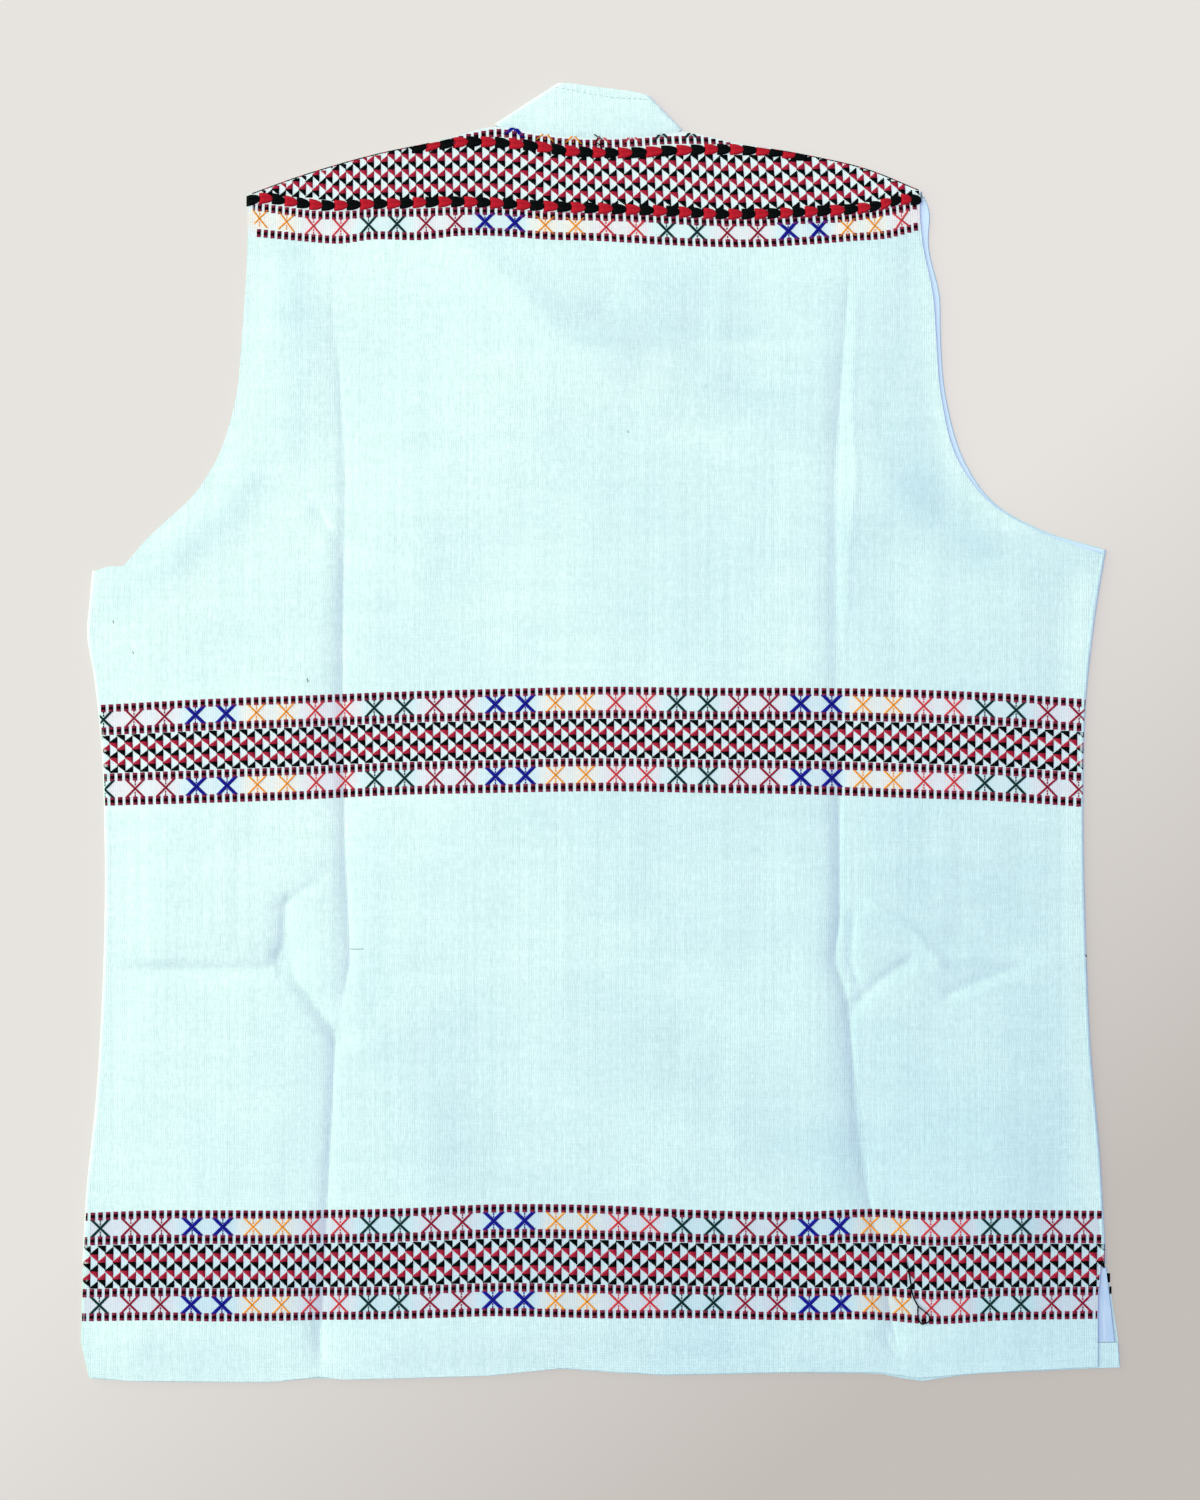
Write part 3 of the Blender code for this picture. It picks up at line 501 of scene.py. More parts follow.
# The shape of a leaf: shares of its length along it, and its half width and its height there.
LEAF_SHAPE = table(
    "along wide high",
    (0, 0.96, 0.25), (0.06, 1, 0.62), (0.16, 1, 0.9), (0.3, 0.98, 1), (0.46, 0.94, 0.98),
    (0.62, 0.88, 0.92), (0.78, 0.78, 0.84), (0.92, 0.64, 0.72), (1.03, 0.44, 0.5), (1.1, 0.14, 0.2),
)
LEAF_HALF_WIDTH = 3.2
LEAF_ACROSS = 17
LEAF_NOTCH = 0.24
NOTCH_LENGTH = 0.4
LOBE_STRANDS = 3
STRAND_GROOVE = 0.13
LOBE_VALLEY = 0.45
BRAID_LEVEL = 0.1
BRAID_EDGE_MARGIN = 0.6
BRAID_LEAST_WIDTH = 2.4

# How many columns and rows the flat panels, the folds and the collar have.
FRONT_COLUMNS = 24
RAMP_COLUMNS = (2, 4, 4)
FOLD_COLUMNS = 10
HEM_ROWS = 6
COLLAR_FINE = 4
COLLAR_ROWS = 22
# The least turn, in radians, from the collar's end to its next column.
LEAST_TURN = 0.025

# The collar's puffed back, the step at its foot, and the row of stitches with its groove.
COLLAR_PUFF = 0.5
PUFF_POWER = 0.7
COLLAR_STEP = 0.42
COLLAR_FOOT = 1.6
STITCH_GROOVE = 0.35
GROOVE_WIDTH = 0.9
STITCH_INSET = 4.8
STITCH_APART = 1.1
STITCH_HALF = 0.24
STITCH_RISE = 0.1

# The ground cloth's grains: millimetres across and along, and how much fine detail is on them.
Grain = namedtuple("Grain", "across along detail")
CLOTH_GRAINS = {
    "warp": Grain(0.9, 4.0, 2.0),
    "weft": Grain(7.0, 1.0, 2.0),
    "bars": Grain(90.0, 9.0, 2.0),
    "broad": Grain(1.5, 240.0, 2.0),
    "slub": Grain(14.0, 1.4, 1.0),
    "cloud": Grain(130.0, 90.0, 2.0),
}
# What share each of them has in the streaks.
STREAK_SHARES = {"warp": 0.44, "weft": 0.20, "broad": 0.24, "bars": 0.12}
# How fast painted shade darkens the cloth where the light falls off, for each metre to the right
# and up, and how much random clouds add to it.
PAINTED_FALLOFF = (1.316, -0.702, 0.0)
DULL_CLOUDS = 0.9
# How strongly the bands' own ground and a slub cover the cloth's colour.
BAND_COVER = 0.72
SLUB_COVER = 0.2
# How much white there is in the lining's worn streaks.
WORN_WHITE = 0.55
# The drawn pitch of a yarn's twist, in millimetres.
TWIST_PITCH = 1.2

# The stage: camera straight above, so many millimetres of floor in its view from top to bottom.
CAMERA_OVER = (-0.3, -9.7)
VIEW_HEIGHT = 855.0
LENS = 85.0
SENSOR = 36.0
FLOOR_HALF = 4000.0
FLOOR_LEVEL = -0.3
# The paper's tone and its painted shade towards the lower right, how fast one turns to the other
# for each metre, and how much painted glow it has to keep the garment's shadow faint.
PAPER = "757371"
PAPER_PAINTED_SHADE = "625F5C"
PAPER_SLOPE = (0.95, -1.15, 0.0)
PAPER_GLOW = 3.4
# The key light: where it comes from, how wide it is in degrees, its strength and its tint.
KEY_FROM = (-1.0, 0.38, 0.87)
KEY_SPREAD = 85.0
KEY_STRENGTH = 2.92
KEY_TINT = (1.09, 1.15, 0.72)
FILL_STRENGTH = 0.50
FILL_TINT = (0.90, 0.83, 1.33)


def linear(code):
    """A colour's sRGB hex code as linear red, green and blue."""
    values = np.array([int(code[k:k + 2], 16) for k in (0, 2, 4)]) / 255
    low = values / 12.92
    high = ((values + 0.055) / 1.055) ** 2.4
    return tuple(float(v) for v in np.where(values <= 0.04045, low, high))


def colour(name, words, code):
    """A colour that a user may change, with its default as an sRGB hex code."""
    return FloatVectorProperty(
        name=name, description=words, subtype="COLOR", size=3, min=0.0, max=1.0,
        default=linear(code),
    )


def millimetres(name, words, default, least, most):
    """A length in millimetres that a user may change."""
    return FloatProperty(name=name, description=words, default=default, min=least, max=most)


class WaistcoatSizes(bpy.types.PropertyGroup):
    """Sizes that a user may change, in millimetres."""

    thread_pitch: millimetres("Thread pitch", "From one drawn thread to the next", 1.3, 0.5, 4.0)
    float_rise: millimetres("Float height", "How far a float stands off", FLOAT_RISE, 0.1, 0.8)
    braid_rise: millimetres("Braid height", "How far the arrow braids stand off", 1.15, 0.5, 1.6)
    stitch_length: millimetres("Stitch length", "One stitch of the collar", 2.1, 1.0, 4.0)


class WaistcoatColours(bpy.types.PropertyGroup):
    """Colours that a user may change."""

    cloth: colour("Cloth", "The pale blue-green ground cloth", "E7FFFD")
    cloth_shade: colour("Cloth streaks", "The darker threads in the ground cloth", "D0F0EC")
    # Painted shade: the cloth's colour and streaks where the light falls off towards the lower right,
    # in random clouds, and in the patches of painted shade.
    cloth_painted_shade: colour("Dull cloth", "The ground cloth where it was washed duller", "C7E8F0")
    painted_shade_streaks: colour("Dull streaks", "The darker threads of the duller cloth", "B6D7E0")
    lining: colour("Lining", "The plain blue lining of the right front", "ACC8E8")
    # Painted light: the lining beside the armhole, painted paler as where it lies open to the light.
    lining_painted_light: colour("Faded lining", "The lining beside the armhole", "CCE6FC")
    maroon: colour("Maroon", "The ends of the dashes", "8C2F4C")
    stitch: colour("Stitching", "The collar's top-stitching, a shade under the cloth", "B4D6D8")
    slub: colour("Slub", "Dark thick places and flecks in the weft", "5E7376")
    dusk: colour("Dusk", "The near-black middles of the dashes", "220009")
    black: colour("Black", "Half of each triangle and every second leaf of the braids", "04090A")
    red: colour("Red", "The other half of each triangle", "AD2742")
    braid_red: colour("Braid red", "Every second leaf of the braids", "B11B2B")
    blue: colour("Blue", "Blue crosses", "1C1F9A")
    orange: colour("Orange", "Orange crosses", "F7A526")
    coral: colour("Coral", "Coral crosses", "D8424A")
    crimson: colour("Crimson", "Crimson crosses", "9C1F3C")
    green: colour("Green", "Dark green crosses", "12393B")


def hermite(knots, values, at):
    """Cubic through the values at the knots, with the slope at each knot that of its neighbours."""
    slopes = np.gradient(values, knots, axis=0)
    k = np.clip(np.searchsorted(knots, at, side="right") - 1, 0, len(knots) - 2)
    span = knots[k + 1] - knots[k]
    t = np.clip((at - knots[k]) / span, 0.0, 1.0)
    if values.ndim > 1:
        span, t = span[:, None], t[:, None]
    stay = (2 * t**3 - 3 * t**2 + 1) * values[k] + (3 * t**2 - 2 * t**3) * values[k + 1]
    return stay + span * ((t**3 - 2 * t**2 + t) * slopes[k] + (t**3 - t**2) * slopes[k + 1])


def straight_on(knots, values, at):
    """The same cubic between the first and last knots, and straight on beyond them."""
    first = (values[1] - values[0]) / (knots[1] - knots[0])
    last = (values[-1] - values[-2]) / (knots[-1] - knots[-2])
    inside = hermite(knots, values, np.clip(at, knots[0], knots[-1]))
    return inside + first * np.minimum(at - knots[0], 0) + last * np.maximum(at - knots[-1], 0)


def path_length(points):
    """How far along its path each point lies, as seen from above."""
    return np.concatenate(([0.0], np.cumsum(np.hypot(*np.diff(points[:, :2], axis=0).T))))


def smooth_curve(points, count):
    """Points at even steps along the smooth curve through these."""
    points = np.array(points, float)
    run = path_length(points)
    return hermite(run, points, np.linspace(0.0, run[-1], count))


def smoothstep(t):
    """From nothing at zero to one at one, level at both ends."""
    t = np.clip(t, 0.0, 1.0)
    return t * t * (3 - 2 * t)


def all_pairs(first, second):
    """Every pair of one of the first and one of the second, as two flat arrays."""
    return [part.ravel() for part in np.meshgrid(first, second, indexing="ij")]


def side_rows(side):
    """All rows of a side from hem to shoulder tip, as columns back x, back y, front x, front y."""
    parts = []
    start = np.empty((0, 4))
    for run in side:
        knots = np.vstack([start, np.column_stack(run.edges)])
        rows = smooth_curve(knots, run.steps * FINE + 1)
        # The run below has the first of these rows already.
        parts.append(rows[len(start):])
        start = knots[-1:]
    return np.vstack(parts)


def row_of(side, name):
    """The number of the row at which the named run starts."""
    names = [run.name for run in side]
    return sum(run.steps for run in side[:names.index(name)]) * FINE


LEFT = side_rows(LEFT_SIDE)
RIGHT = side_rows(RIGHT_SIDE)
TURN_ROW = row_of(RIGHT_SIDE, "vent")
VENT_ROW = row_of(RIGHT_SIDE, "seam")
UNDERARM_ROW = row_of(RIGHT_SIDE, "armhole")
LAST_ROW = len(RIGHT) - 1


def top_y(x):
    """How high the shoulder and neck seams lie at each place across."""
    return hermite(TOP.x, TOP.y, x)


def back_hem(x):
    """How low the back's hem lies at each place across."""
    return np.interp(x, HEM.x, HEM.back_y)


def front_hem(x):
    """How low the fronts' hem lies at each place across."""
    return np.interp(x, HEM.x, HEM.front_y)


def back_sides(y):
    """The back's left and right edge at each height."""
    return np.interp(y, LEFT[:, 1], LEFT[:, 0]), np.interp(y, RIGHT[:, 1], RIGHT[:, 0])


def outline_sides(y):
    """The whole garment's left and right edge at each height, where the fronts' own edges show."""
    return np.interp(y, LEFT[:, 3], LEFT[:, 2]), np.interp(y, RIGHT[:, 3], RIGHT[:, 2])


def fold_lift(x, y):
    """Sum of the folds: each fades with the square of the distance to its line, in a bell."""
    total = np.zeros_like(x)
    for fold in FOLDS:
        run = np.array([fold.x1 - fold.x0, fold.y1 - fold.y0])
        along = np.clip(((x - fold.x0) * run[0] + (y - fold.y0) * run[1]) / (run @ run), 0, 1)
        off = np.hypot(x - fold.x0 - along * run[0], y - fold.y0 - along * run[1])
        total += fold.height * np.exp(-(off / fold.width) ** 2)
    return total


def from_crease(off):
    """The distance from a crease's line, with the line itself a little rounded."""
    return np.sqrt(off ** 2 + CREASE_ROUND ** 2) - CREASE_ROUND


def crease_lift(x, y):
    """The pressed creases: each falls ever faster to its line from the left, and beyond the line a
    narrow lip comes up at once and the rest of the height over many times that width."""
    total = np.zeros_like(x)
    for line, depths in ((CREASES.left_x, CREASE_LEFT), (CREASES.right_x, CREASE_RIGHT)):
        off = x - np.interp(y, CREASES.y, line)
        apart = from_crease(off)
        rise = CREASE_LIP_SHARE * np.exp(-apart / CREASE_LIP)
        rise += (1 - CREASE_LIP_SHARE) * np.exp(-apart / CREASE_RISE)
        total -= np.interp(y, *depths) * np.where(off < 0, np.exp(-apart / CREASE_FALL), rise)
    return total


def waves(billows, x, y):
    """Sum of sine waves: each turns with x and y over its own lengths."""
    total = np.zeros_like(x)
    for wave in billows:
        turns = x / wave.across + y / wave.along
        total += wave.height * np.sin(2 * np.pi * turns + wave.phase)
    return total


def crinkle_lift(crinkles, x, y):
    """Sum of the crinkles: each falls off to either side of the nearest of its runs, in a bell or
    straight from the line, with its own width on each side, and fades past its ends."""
    total = np.zeros_like(x)
    for crinkle in crinkles:
        points = np.array(crinkle.points, float)
        nearest = np.full(x.shape, np.inf)
        lift = np.zeros_like(x)
        for start, end in zip(points[:-1], points[1:]):
            run = end - start
            size = np.hypot(*run)
            along = ((x - start[0]) * run[0] + (y - start[1]) * run[1]) / size
            across = ((y - start[1]) * run[0] - (x - start[0]) * run[1]) / size
            past = np.maximum(np.maximum(-along, along - size), 0)
            apart = np.hypot(across, past)
            wall = np.where(across > 0, crinkle.left_wall, crinkle.right_wall)
            fall = (from_crease(across) / wall) ** crinkle.power
            fall = fall + (past / np.maximum(wall, CRINKLE_END)) ** 2
            lift = np.where(apart < nearest, np.exp(-fall), lift)
            nearest = np.minimum(nearest, apart)
        total += crinkle.height * lift
    return total


def cloth_height(x, y):
    """The back's outer face: its seams lie at one level, the right one drawn in, and inside them
    come the plateau, billows, folds, creases and crinkles, and the ripples of the weave."""
    left_x, right_x = back_sides(y)
    side = np.minimum(x - left_x, right_x - x)
    inside = smoothstep(side / np.where(x < 0, SIDE_FADE, RIGHT_FADE))
    inside = inside * smoothstep((y - back_hem(x)) / HEM_FADE)
    yoke = smoothstep((y - YOKE_START) / YOKE_FADE)
    soft = PLATEAU + waves(BILLOWS, x, y) + fold_lift(x, y) + crease_lift(x, y)
    soft = soft + crinkle_lift(CRINKLES, x, y)
    dip = np.exp(-(side / SEAM_DIP_WIDTH) ** 2) * smoothstep(x / SIDE_FADE)
    ripple = waves(RIPPLES, x, y) * smoothstep(side / CRINKLE_END)
    # Only the right half has the lining below it, so the left half may sink further.
    unlined = 1 - smoothstep((x - LOWEST_START) / LOWEST_RUN)
    soft = np.maximum(soft, LOWEST_SOFT + unlined * (LOWEST_LEFT - LOWEST_SOFT))
    return BACK_TOP + inside * (1 - yoke) * soft + ripple - SEAM_DIP * dip


def wrapped_height(x, y):
    """The outer face of the garment: the back's, and past its side edges the side fold, a quarter
    circle that falls away to the outline."""
    left_x, right_x = outline_sides(y)
    past = np.maximum(np.maximum(left_x + SIDE_RADIUS - x, x - right_x + SIDE_RADIUS), 0)
    fall = SIDE_RADIUS - np.sqrt(np.maximum(SIDE_RADIUS ** 2 - past ** 2, 0))
    return cloth_height(x, y) - fall


def edge_height(x, y):
    """The outer face as far down as the vent, and below it the inner face of the right front."""
    return np.where(y > VENT_TOP, wrapped_height(x, y), CLOTH)


def with_edge_rows(grid):
    """The same rows with two more just inside the first and the last, to round off the edges."""
    near = np.array(EDGE_ROWS)[:, None]
    low = grid[:1] + near * (grid[1:2] - grid[:1])
    high = grid[-1:] + near[::-1] * (grid[-2:-1] - grid[-1:])
    return np.concatenate([grid[:1], low, grid[1:-1], high, grid[-1:]])


def row_heights(x, left, right, hem, top):
    """Heights of rows of points: between the hem's and the top's curve, and true at both sides."""
    u = (x - left[:, :1]) / (right[:, :1] - left[:, :1])
    middle = (left[:, 1] + right[:, 1]) / 2
    v = ((middle - middle[0]) / (middle[-1] - middle[0]))[:, None]
    low = hem(left[0, 0] + u * (right[0, 0] - left[0, 0]))
    high = top(left[-1, 0] + u * (right[-1, 0] - left[-1, 0]))
    left_off = left[:, 1:] - (1 - v) * hem(left[:1, :1]) - v * top(left[-1:, :1])
    right_off = right[:, 1:] - (1 - v) * hem(right[:1, :1]) - v * top(right[-1:, :1])
    return (1 - v) * low + v * high + (1 - u) * left_off + u * right_off


def spread(knots, counts):
    """Columns between the knots of each row, with so many even steps from each knot to the next."""
    columns = [knots[:, :1]]
    for k, count in enumerate(counts):
        t = np.linspace(0, 1, count + 1)[1:]
        columns.append(knots[:, k:k + 1] * (1 - t) + knots[:, k + 1:k + 2] * t)
    return np.hstack(columns)


def refined(grid, rows, columns):
    """The grid with a row put half way after each of these rows, and so for columns."""
    grid = np.insert(grid, rows + 1, (grid[rows] + grid[rows + 1]) / 2, axis=0)
    return np.insert(grid, columns + 1, (grid[:, columns] + grid[:, columns + 1]) / 2, axis=1)


def add_node(material, kind, inputs, output=0, **settings):
    """Adds a node with its own settings, gives each of its inputs a value or links it to a socket,
    and returns its first output, or the one that is asked for."""
    made = material.node_tree.nodes.new(f"ShaderNode{kind}")
    for name, value in settings.items():
        setattr(made, name, value)
    for name, value in inputs.items():
        socket = made.inputs[name]
        if isinstance(value, bpy.types.NodeSocket):
            material.node_tree.links.new(value, socket)
        elif socket.type == "RGBA":
            socket.default_value = (*value, 1.0)
        else:
            socket.default_value = value
    return made.outputs[output] if made.outputs else None


# The sockets of a node that mixes colours: its share of the second, the two colours, the result.
SHARE, FIRST, SECOND, MIXED = 0, 6, 7, 2


def start_material(name):
    """A new material, and its object coordinates in metres."""
    material = bpy.data.materials.new(name)
    material.use_nodes = True
    material.node_tree.nodes.clear()
    return material, add_node(material, "TexCoord", {}, "Object")


def finish_material(material, looks):
    """The material with one shader of these looks on its output."""
    shader = add_node(material, "BsdfPrincipled", looks)
    add_node(material, "OutputMaterial", {"Surface": shader})
    return material


def added(material, parts):
    """The sum of the parts, each times its share."""
    total = 0.0
    for part, share in parts:
        total = add_node(material, "Math", {0: part, 1: share, 2: total}, operation="MULTIPLY_ADD")
    return total


def covered(material, tone, layers):
    """The tone with each layer's colour laid over it, as far as the layer's share."""
    for share, over in layers:
        inputs = {SHARE: share, FIRST: tone, SECOND: over}
        tone = add_node(material, "Mix", inputs, MIXED, data_type="RGBA")
    return tone


def grains(material, places, sizes):
    """Noise for each grain, stretched so that a grain is its own millimetres across and along."""
    found = {}
    for name, grain in sizes.items():
        scale = (1 / (grain.across * MM), 1 / (grain.along * MM), 1 / (grain.across * MM))
        stretched = add_node(material, "Mapping", {"Vector": places, "Scale": scale})
        found[name] = add_node(material, "TexNoise", {
            "Vector": stretched, "Scale": 1.0, "Detail": grain.detail, "Roughness": 0.55,
        })
    return found


def threads(material, places, directions, pitch, shake):
    """Sine bands along each of the directions, one for each thread, wavering a little."""
    # Blender's bands repeat every two pi twentieths of a unit at scale one.
    inputs = {
        "Vector": places, "Scale": np.pi / 10 / (pitch * MM), "Distortion": shake, "Detail": 1.0,
        "Detail Scale": 0.4,
    }
    return [
        add_node(material, "TexWave", inputs, "Fac", bands_direction=direction)
        for direction in directions
    ]


def washed_handloom_cotton(colours, sizes):
    """Plain-woven cotton, hand-spun and hand-loomed, washed soft. The eye gets a matt, slightly
    fuzzy face with long uneven warp streaks, short thick places in the weft, and a fine grain."""
    material, places = start_material("washed_handloom_cotton")
    grain = grains(material, places, CLOTH_GRAINS)
    streaks = added(material, [(grain[name], share) for name, share in STREAK_SHARES.items()])
    streaks = add_node(material, "MapRange", {"Value": streaks, "From Min": 0.38, "From Max": 0.62})
    slub = {"Value": grain["slub"], "From Min": 0.66, "From Max": 0.74}
    slub = add_node(material, "MapRange", slub)
    lit_tone = covered(material, colours.cloth, [(streaks, colours.cloth_shade)])
    painted_shade_tone = covered(material, colours.cloth_painted_shade, [(streaks, colours.painted_shade_streaks)])
    # Painted shade: the cloth turns bluer and a little darker towards its lower right corner, where
    # the light falls off, in random clouds, and in the listed patches of painted shade and light.
    slope = {0: places, 1: PAINTED_FALLOFF}
    slope = add_node(material, "VectorMath", slope, "Value", operation="DOT_PRODUCT")
    painted_shade_share = added(material, [(slope, 1.0), (grain["cloud"], DULL_CLOUDS)])
    painted_shade_share = add_node(material, "MapRange", {"Value": painted_shade_share, "From Min": 0.10, "From Max": 1.0})
    patches = add_node(material, "Attribute", {}, "Fac", attribute_name="dull_patches")
    # Within the bands a whiter weft and the dyes that ran from the figures colour the ground.
    ground = add_node(material, "Attribute", {}, "Color", attribute_name="band_ground")
    inside = add_node(material, "Attribute", {}, "Fac", attribute_name="band_inside")
    inside = {"Value": inside, "From Max": 0.5, "To Max": BAND_COVER}
    # The threads lie 0.5 mm apart, too fine to show, so they are drawn at the pitch of the sizes.
    over, under = threads(material, places, "XY", sizes.thread_pitch, 1.2)
    height = added(material, [
        (over, 0.5), (under, 0.5), (grain["warp"], 1.0), (grain["broad"], 1.0), (slub, 0.6),
    ])
    bump = {"Height": height, "Strength": 0.35, "Distance": 0.40 * MM}
    rough = {
        "Value": grain["warp"], "From Min": 0.3, "From Max": 0.7, "To Min": 0.78, "To Max": 0.92,
    }
    return finish_material(material, {
        "Base Color": covered(material, lit_tone, [
            (added(material, [(painted_shade_share, 1.0), (patches, 1.0)]), painted_shade_tone),
            (added(material, [(slub, SLUB_COVER)]), colours.cloth),
            (add_node(material, "MapRange", inside), ground),
        ]),
        "Roughness": add_node(material, "MapRange", rough),
        "Normal": add_node(material, "Bump", bump),
        "Specular IOR Level": 0.25,
        "Sheen Weight": 0.08,
        "Sheen Roughness": 0.6,
    })


def mill_lining_cotton(colours, sizes):
    """Mill-woven cotton lining, dyed in the piece. The eye gets a closer and more even face than
    the handloom cloth's, with faint wear streaks."""
    material, places = start_material("mill_lining_cotton")
    wear = grains(material, places, {"wear": Grain(2.0, 24.0, 3.0)})["wear"]
    wear = {"Value": wear, "From Min": 0.45, "From Max": 0.75, "To Max": 0.45}
    worn = tuple(WORN_WHITE + (1 - WORN_WHITE) * value for value in colours.lining)
    # Painted light: a paler lining beside the armhole.
    faded = add_node(material, "Attribute", {}, "Fac", attribute_name="faded")
    # The lining's own threads are finer still, so half of the cloth's drawn pitch stands for them.
    over, under = threads(material, places, "XY", sizes.thread_pitch / 2, 0.6)
    height = added(material, [(over, 1.0), (under, 1.0)])
    bump = {"Height": height, "Strength": 0.2, "Distance": 0.1 * MM}
    return finish_material(material, {
        "Base Color": covered(material, colours.lining, [
            (add_node(material, "MapRange", wear), worn),
            (faded, colours.lining_painted_light),
        ]),
        "Roughness": 0.8,
        "Normal": add_node(material, "Bump", bump),
        "Specular IOR Level": 0.3,
    })


def pattern_yarn(name, tone):
    """Dyed two-ply cotton or acrylic yarn, soft-twisted. The eye gets a saturated matt strand with
    a slight fuzz and the ridges of its twist."""
    material, places = start_material(name)
    # The plies turn every 0.9 mm, drawn a third wider so that they show at all.
    [twist] = threads(material, places, ["DIAGONAL"], TWIST_PITCH, 2.0)
    fuzz = grains(material, places, {"fuzz": Grain(0.5, 0.5, 2.0)})["fuzz"]
    height = added(material, [(twist, 1.0), (fuzz, 1.0)])
    bump = {"Height": height, "Strength": 0.4, "Distance": 0.15 * MM}
    rough = {"Value": fuzz, "From Min": 0.3, "From Max": 0.7, "To Min": 0.65, "To Max": 0.9}
    return finish_material(material, {
        "Base Color": tone,
        "Roughness": add_node(material, "MapRange", rough),
        "Normal": add_node(material, "Bump", bump),
        "Specular IOR Level": 0.05,
    })


def studio_paper():
    """Matt background paper, unprinted. The eye gets one even grey with painted shade towards the
    lower right, and a painted glow which keeps the garment's shadow on it faint."""
    material, places = start_material("studio_paper")
    slope = {0: places, 1: PAPER_SLOPE}
    slope = add_node(material, "VectorMath", slope, "Value", operation="DOT_PRODUCT")
    slope = add_node(material, "MapRange", {"Value": slope, "From Min": 0.05, "From Max": 0.58})
    tone = covered(material, linear(PAPER), [(slope, linear(PAPER_PAINTED_SHADE))])
    return finish_material(material, {
        "Base Color": tone,
        "Emission Color": tone,
        "Emission Strength": PAPER_GLOW,
        "Roughness": 0.95,
        "Specular IOR Level": 0.1,
    })


def material_of(name):
    """The named material, made once from the scene's colours and sizes."""
    found = bpy.data.materials.get(name)
    if found is not None:
        return found
    colours = bpy.context.scene.waistcoat_colours
    sizes = bpy.context.scene.waistcoat_sizes
    if name == "washed_handloom_cotton":
        return washed_handloom_cotton(colours, sizes)
    if name == "mill_lining_cotton":
        return mill_lining_cotton(colours, sizes)
    return pattern_yarn(name, getattr(colours, name.removesuffix("_yarn")))


def add_piece(name, mesh):
    """Shows the mesh as a piece of the waistcoat that rides on its one body."""
    obj = bpy.data.objects.new(name, mesh)
    bpy.context.scene.collection.objects.link(obj)
    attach(obj, "root")
    return obj


def add_values(mesh, name, values):
    """Keeps one number for each point of the mesh, for its material to read."""
    mesh.attributes.new(name, "FLOAT", "POINT").data.foreach_set("value", values.ravel())


def mark_rims(mesh):
    """Marks each edge that has a face on one side only, so that the wall's rim shades by itself."""
    edge_of = np.empty(len(mesh.loops), np.int32)
    mesh.loops.foreach_get("edge_index", edge_of)
    rim = np.bincount(edge_of, minlength=len(mesh.edges)) == 1
    mesh.attributes.new("sharp_edge", "BOOLEAN", "EDGE").data.foreach_set("value", rim)


def cloth_piece(name, points, wall, faces_up, kept=None, lining=False):
    """A wall of even thickness behind an outer surface, given as a grid of points in millimetres,
    with one face for each kept cell of the grid."""
    rows, columns = points.shape[:2]
    if kept is None:
        kept = np.ones((rows - 1, columns - 1), bool)
    row, column = np.nonzero(kept)
    first = row * columns + column
    faces = np.stack([first, first + 1, first + columns + 1, first + columns], axis=1)
    if not faces_up:
        faces = faces[:, ::-1]
    used, faces = np.unique(faces, return_inverse=True)
    mesh = bpy.data.meshes.new(name)
    mesh.from_pydata((points.reshape(-1, 3)[used] * MM).tolist(), [], faces.reshape(-1, 4).tolist())
    mesh.materials.append(material_of("mill_lining_cotton" if lining else "washed_handloom_cotton"))
    mesh.shade_smooth()
    mark_rims(mesh)
    obj = add_piece(name, mesh)
    solidify = obj.modifiers.new("wall", "SOLIDIFY")
    solidify.thickness = wall * MM
    solidify.offset = -1.0
    return obj


def yarn_piece(name, points, faces, yarns):
    """A piece of yarn, with the material of its own yarn on each face."""
    mesh = bpy.data.meshes.new(name)
    mesh.from_pydata((points.reshape(-1, 3) * MM).tolist(), [], faces)
    names, numbers = np.unique(yarns, return_inverse=True)
    for yarn in names:
        mesh.materials.append(material_of(f"{yarn}_yarn"))
    mesh.polygons.foreach_set("material_index", numbers.astype(np.int32))
    mesh.shade_smooth()
    return add_piece(name, mesh)


def strands(name, starts, ends, half, rise, surface, yarns):
    """Many short strands, each a low closed lozenge from its start to its end: its two ends dive
    into the surface, and between them its ridge stands up and its two edges lie beside it."""
    run = ends - starts
    size = np.hypot(*run.T)
    dive = np.minimum(FLOAT_DIVE, DIVE_SHARE * size) / size
    share = np.stack([np.zeros_like(dive), dive, 1 - dive, np.ones_like(dive)], axis=1)
    spine = starts[:, None] + share[:, :, None] * run[:, None]
    across = np.stack([-run[:, 1], run[:, 0]], axis=1) / size[:, None] * half[:, None]
    plan = np.stack([
        spine[:, 0],
        spine[:, 1] - across, spine[:, 1], spine[:, 1] + across,
        spine[:, 2] - across, spine[:, 2], spine[:, 2] + across,
        spine[:, 3],
    ], axis=1)
    level = surface(plan[:, :, 0], plan[:, :, 1]) - FLOAT_SINK
    level[:, RIDGE] += rise + FLOAT_SINK
    points = np.concatenate([plan, level[:, :, None]], axis=2)
    first = plan.shape[1] * np.arange(len(points))[:, None, None]
    faces, owners = [], []
    for kind in (FLOAT_TRIANGLES, FLOAT_QUADS, FLOAT_UNDERSIDE):
        faces += (first + np.array(kind)).reshape(-1, len(kind[0])).tolist()
        owners.append(np.repeat(yarns, len(kind)))
    return yarn_piece(name, points, faces, np.concatenate(owners))


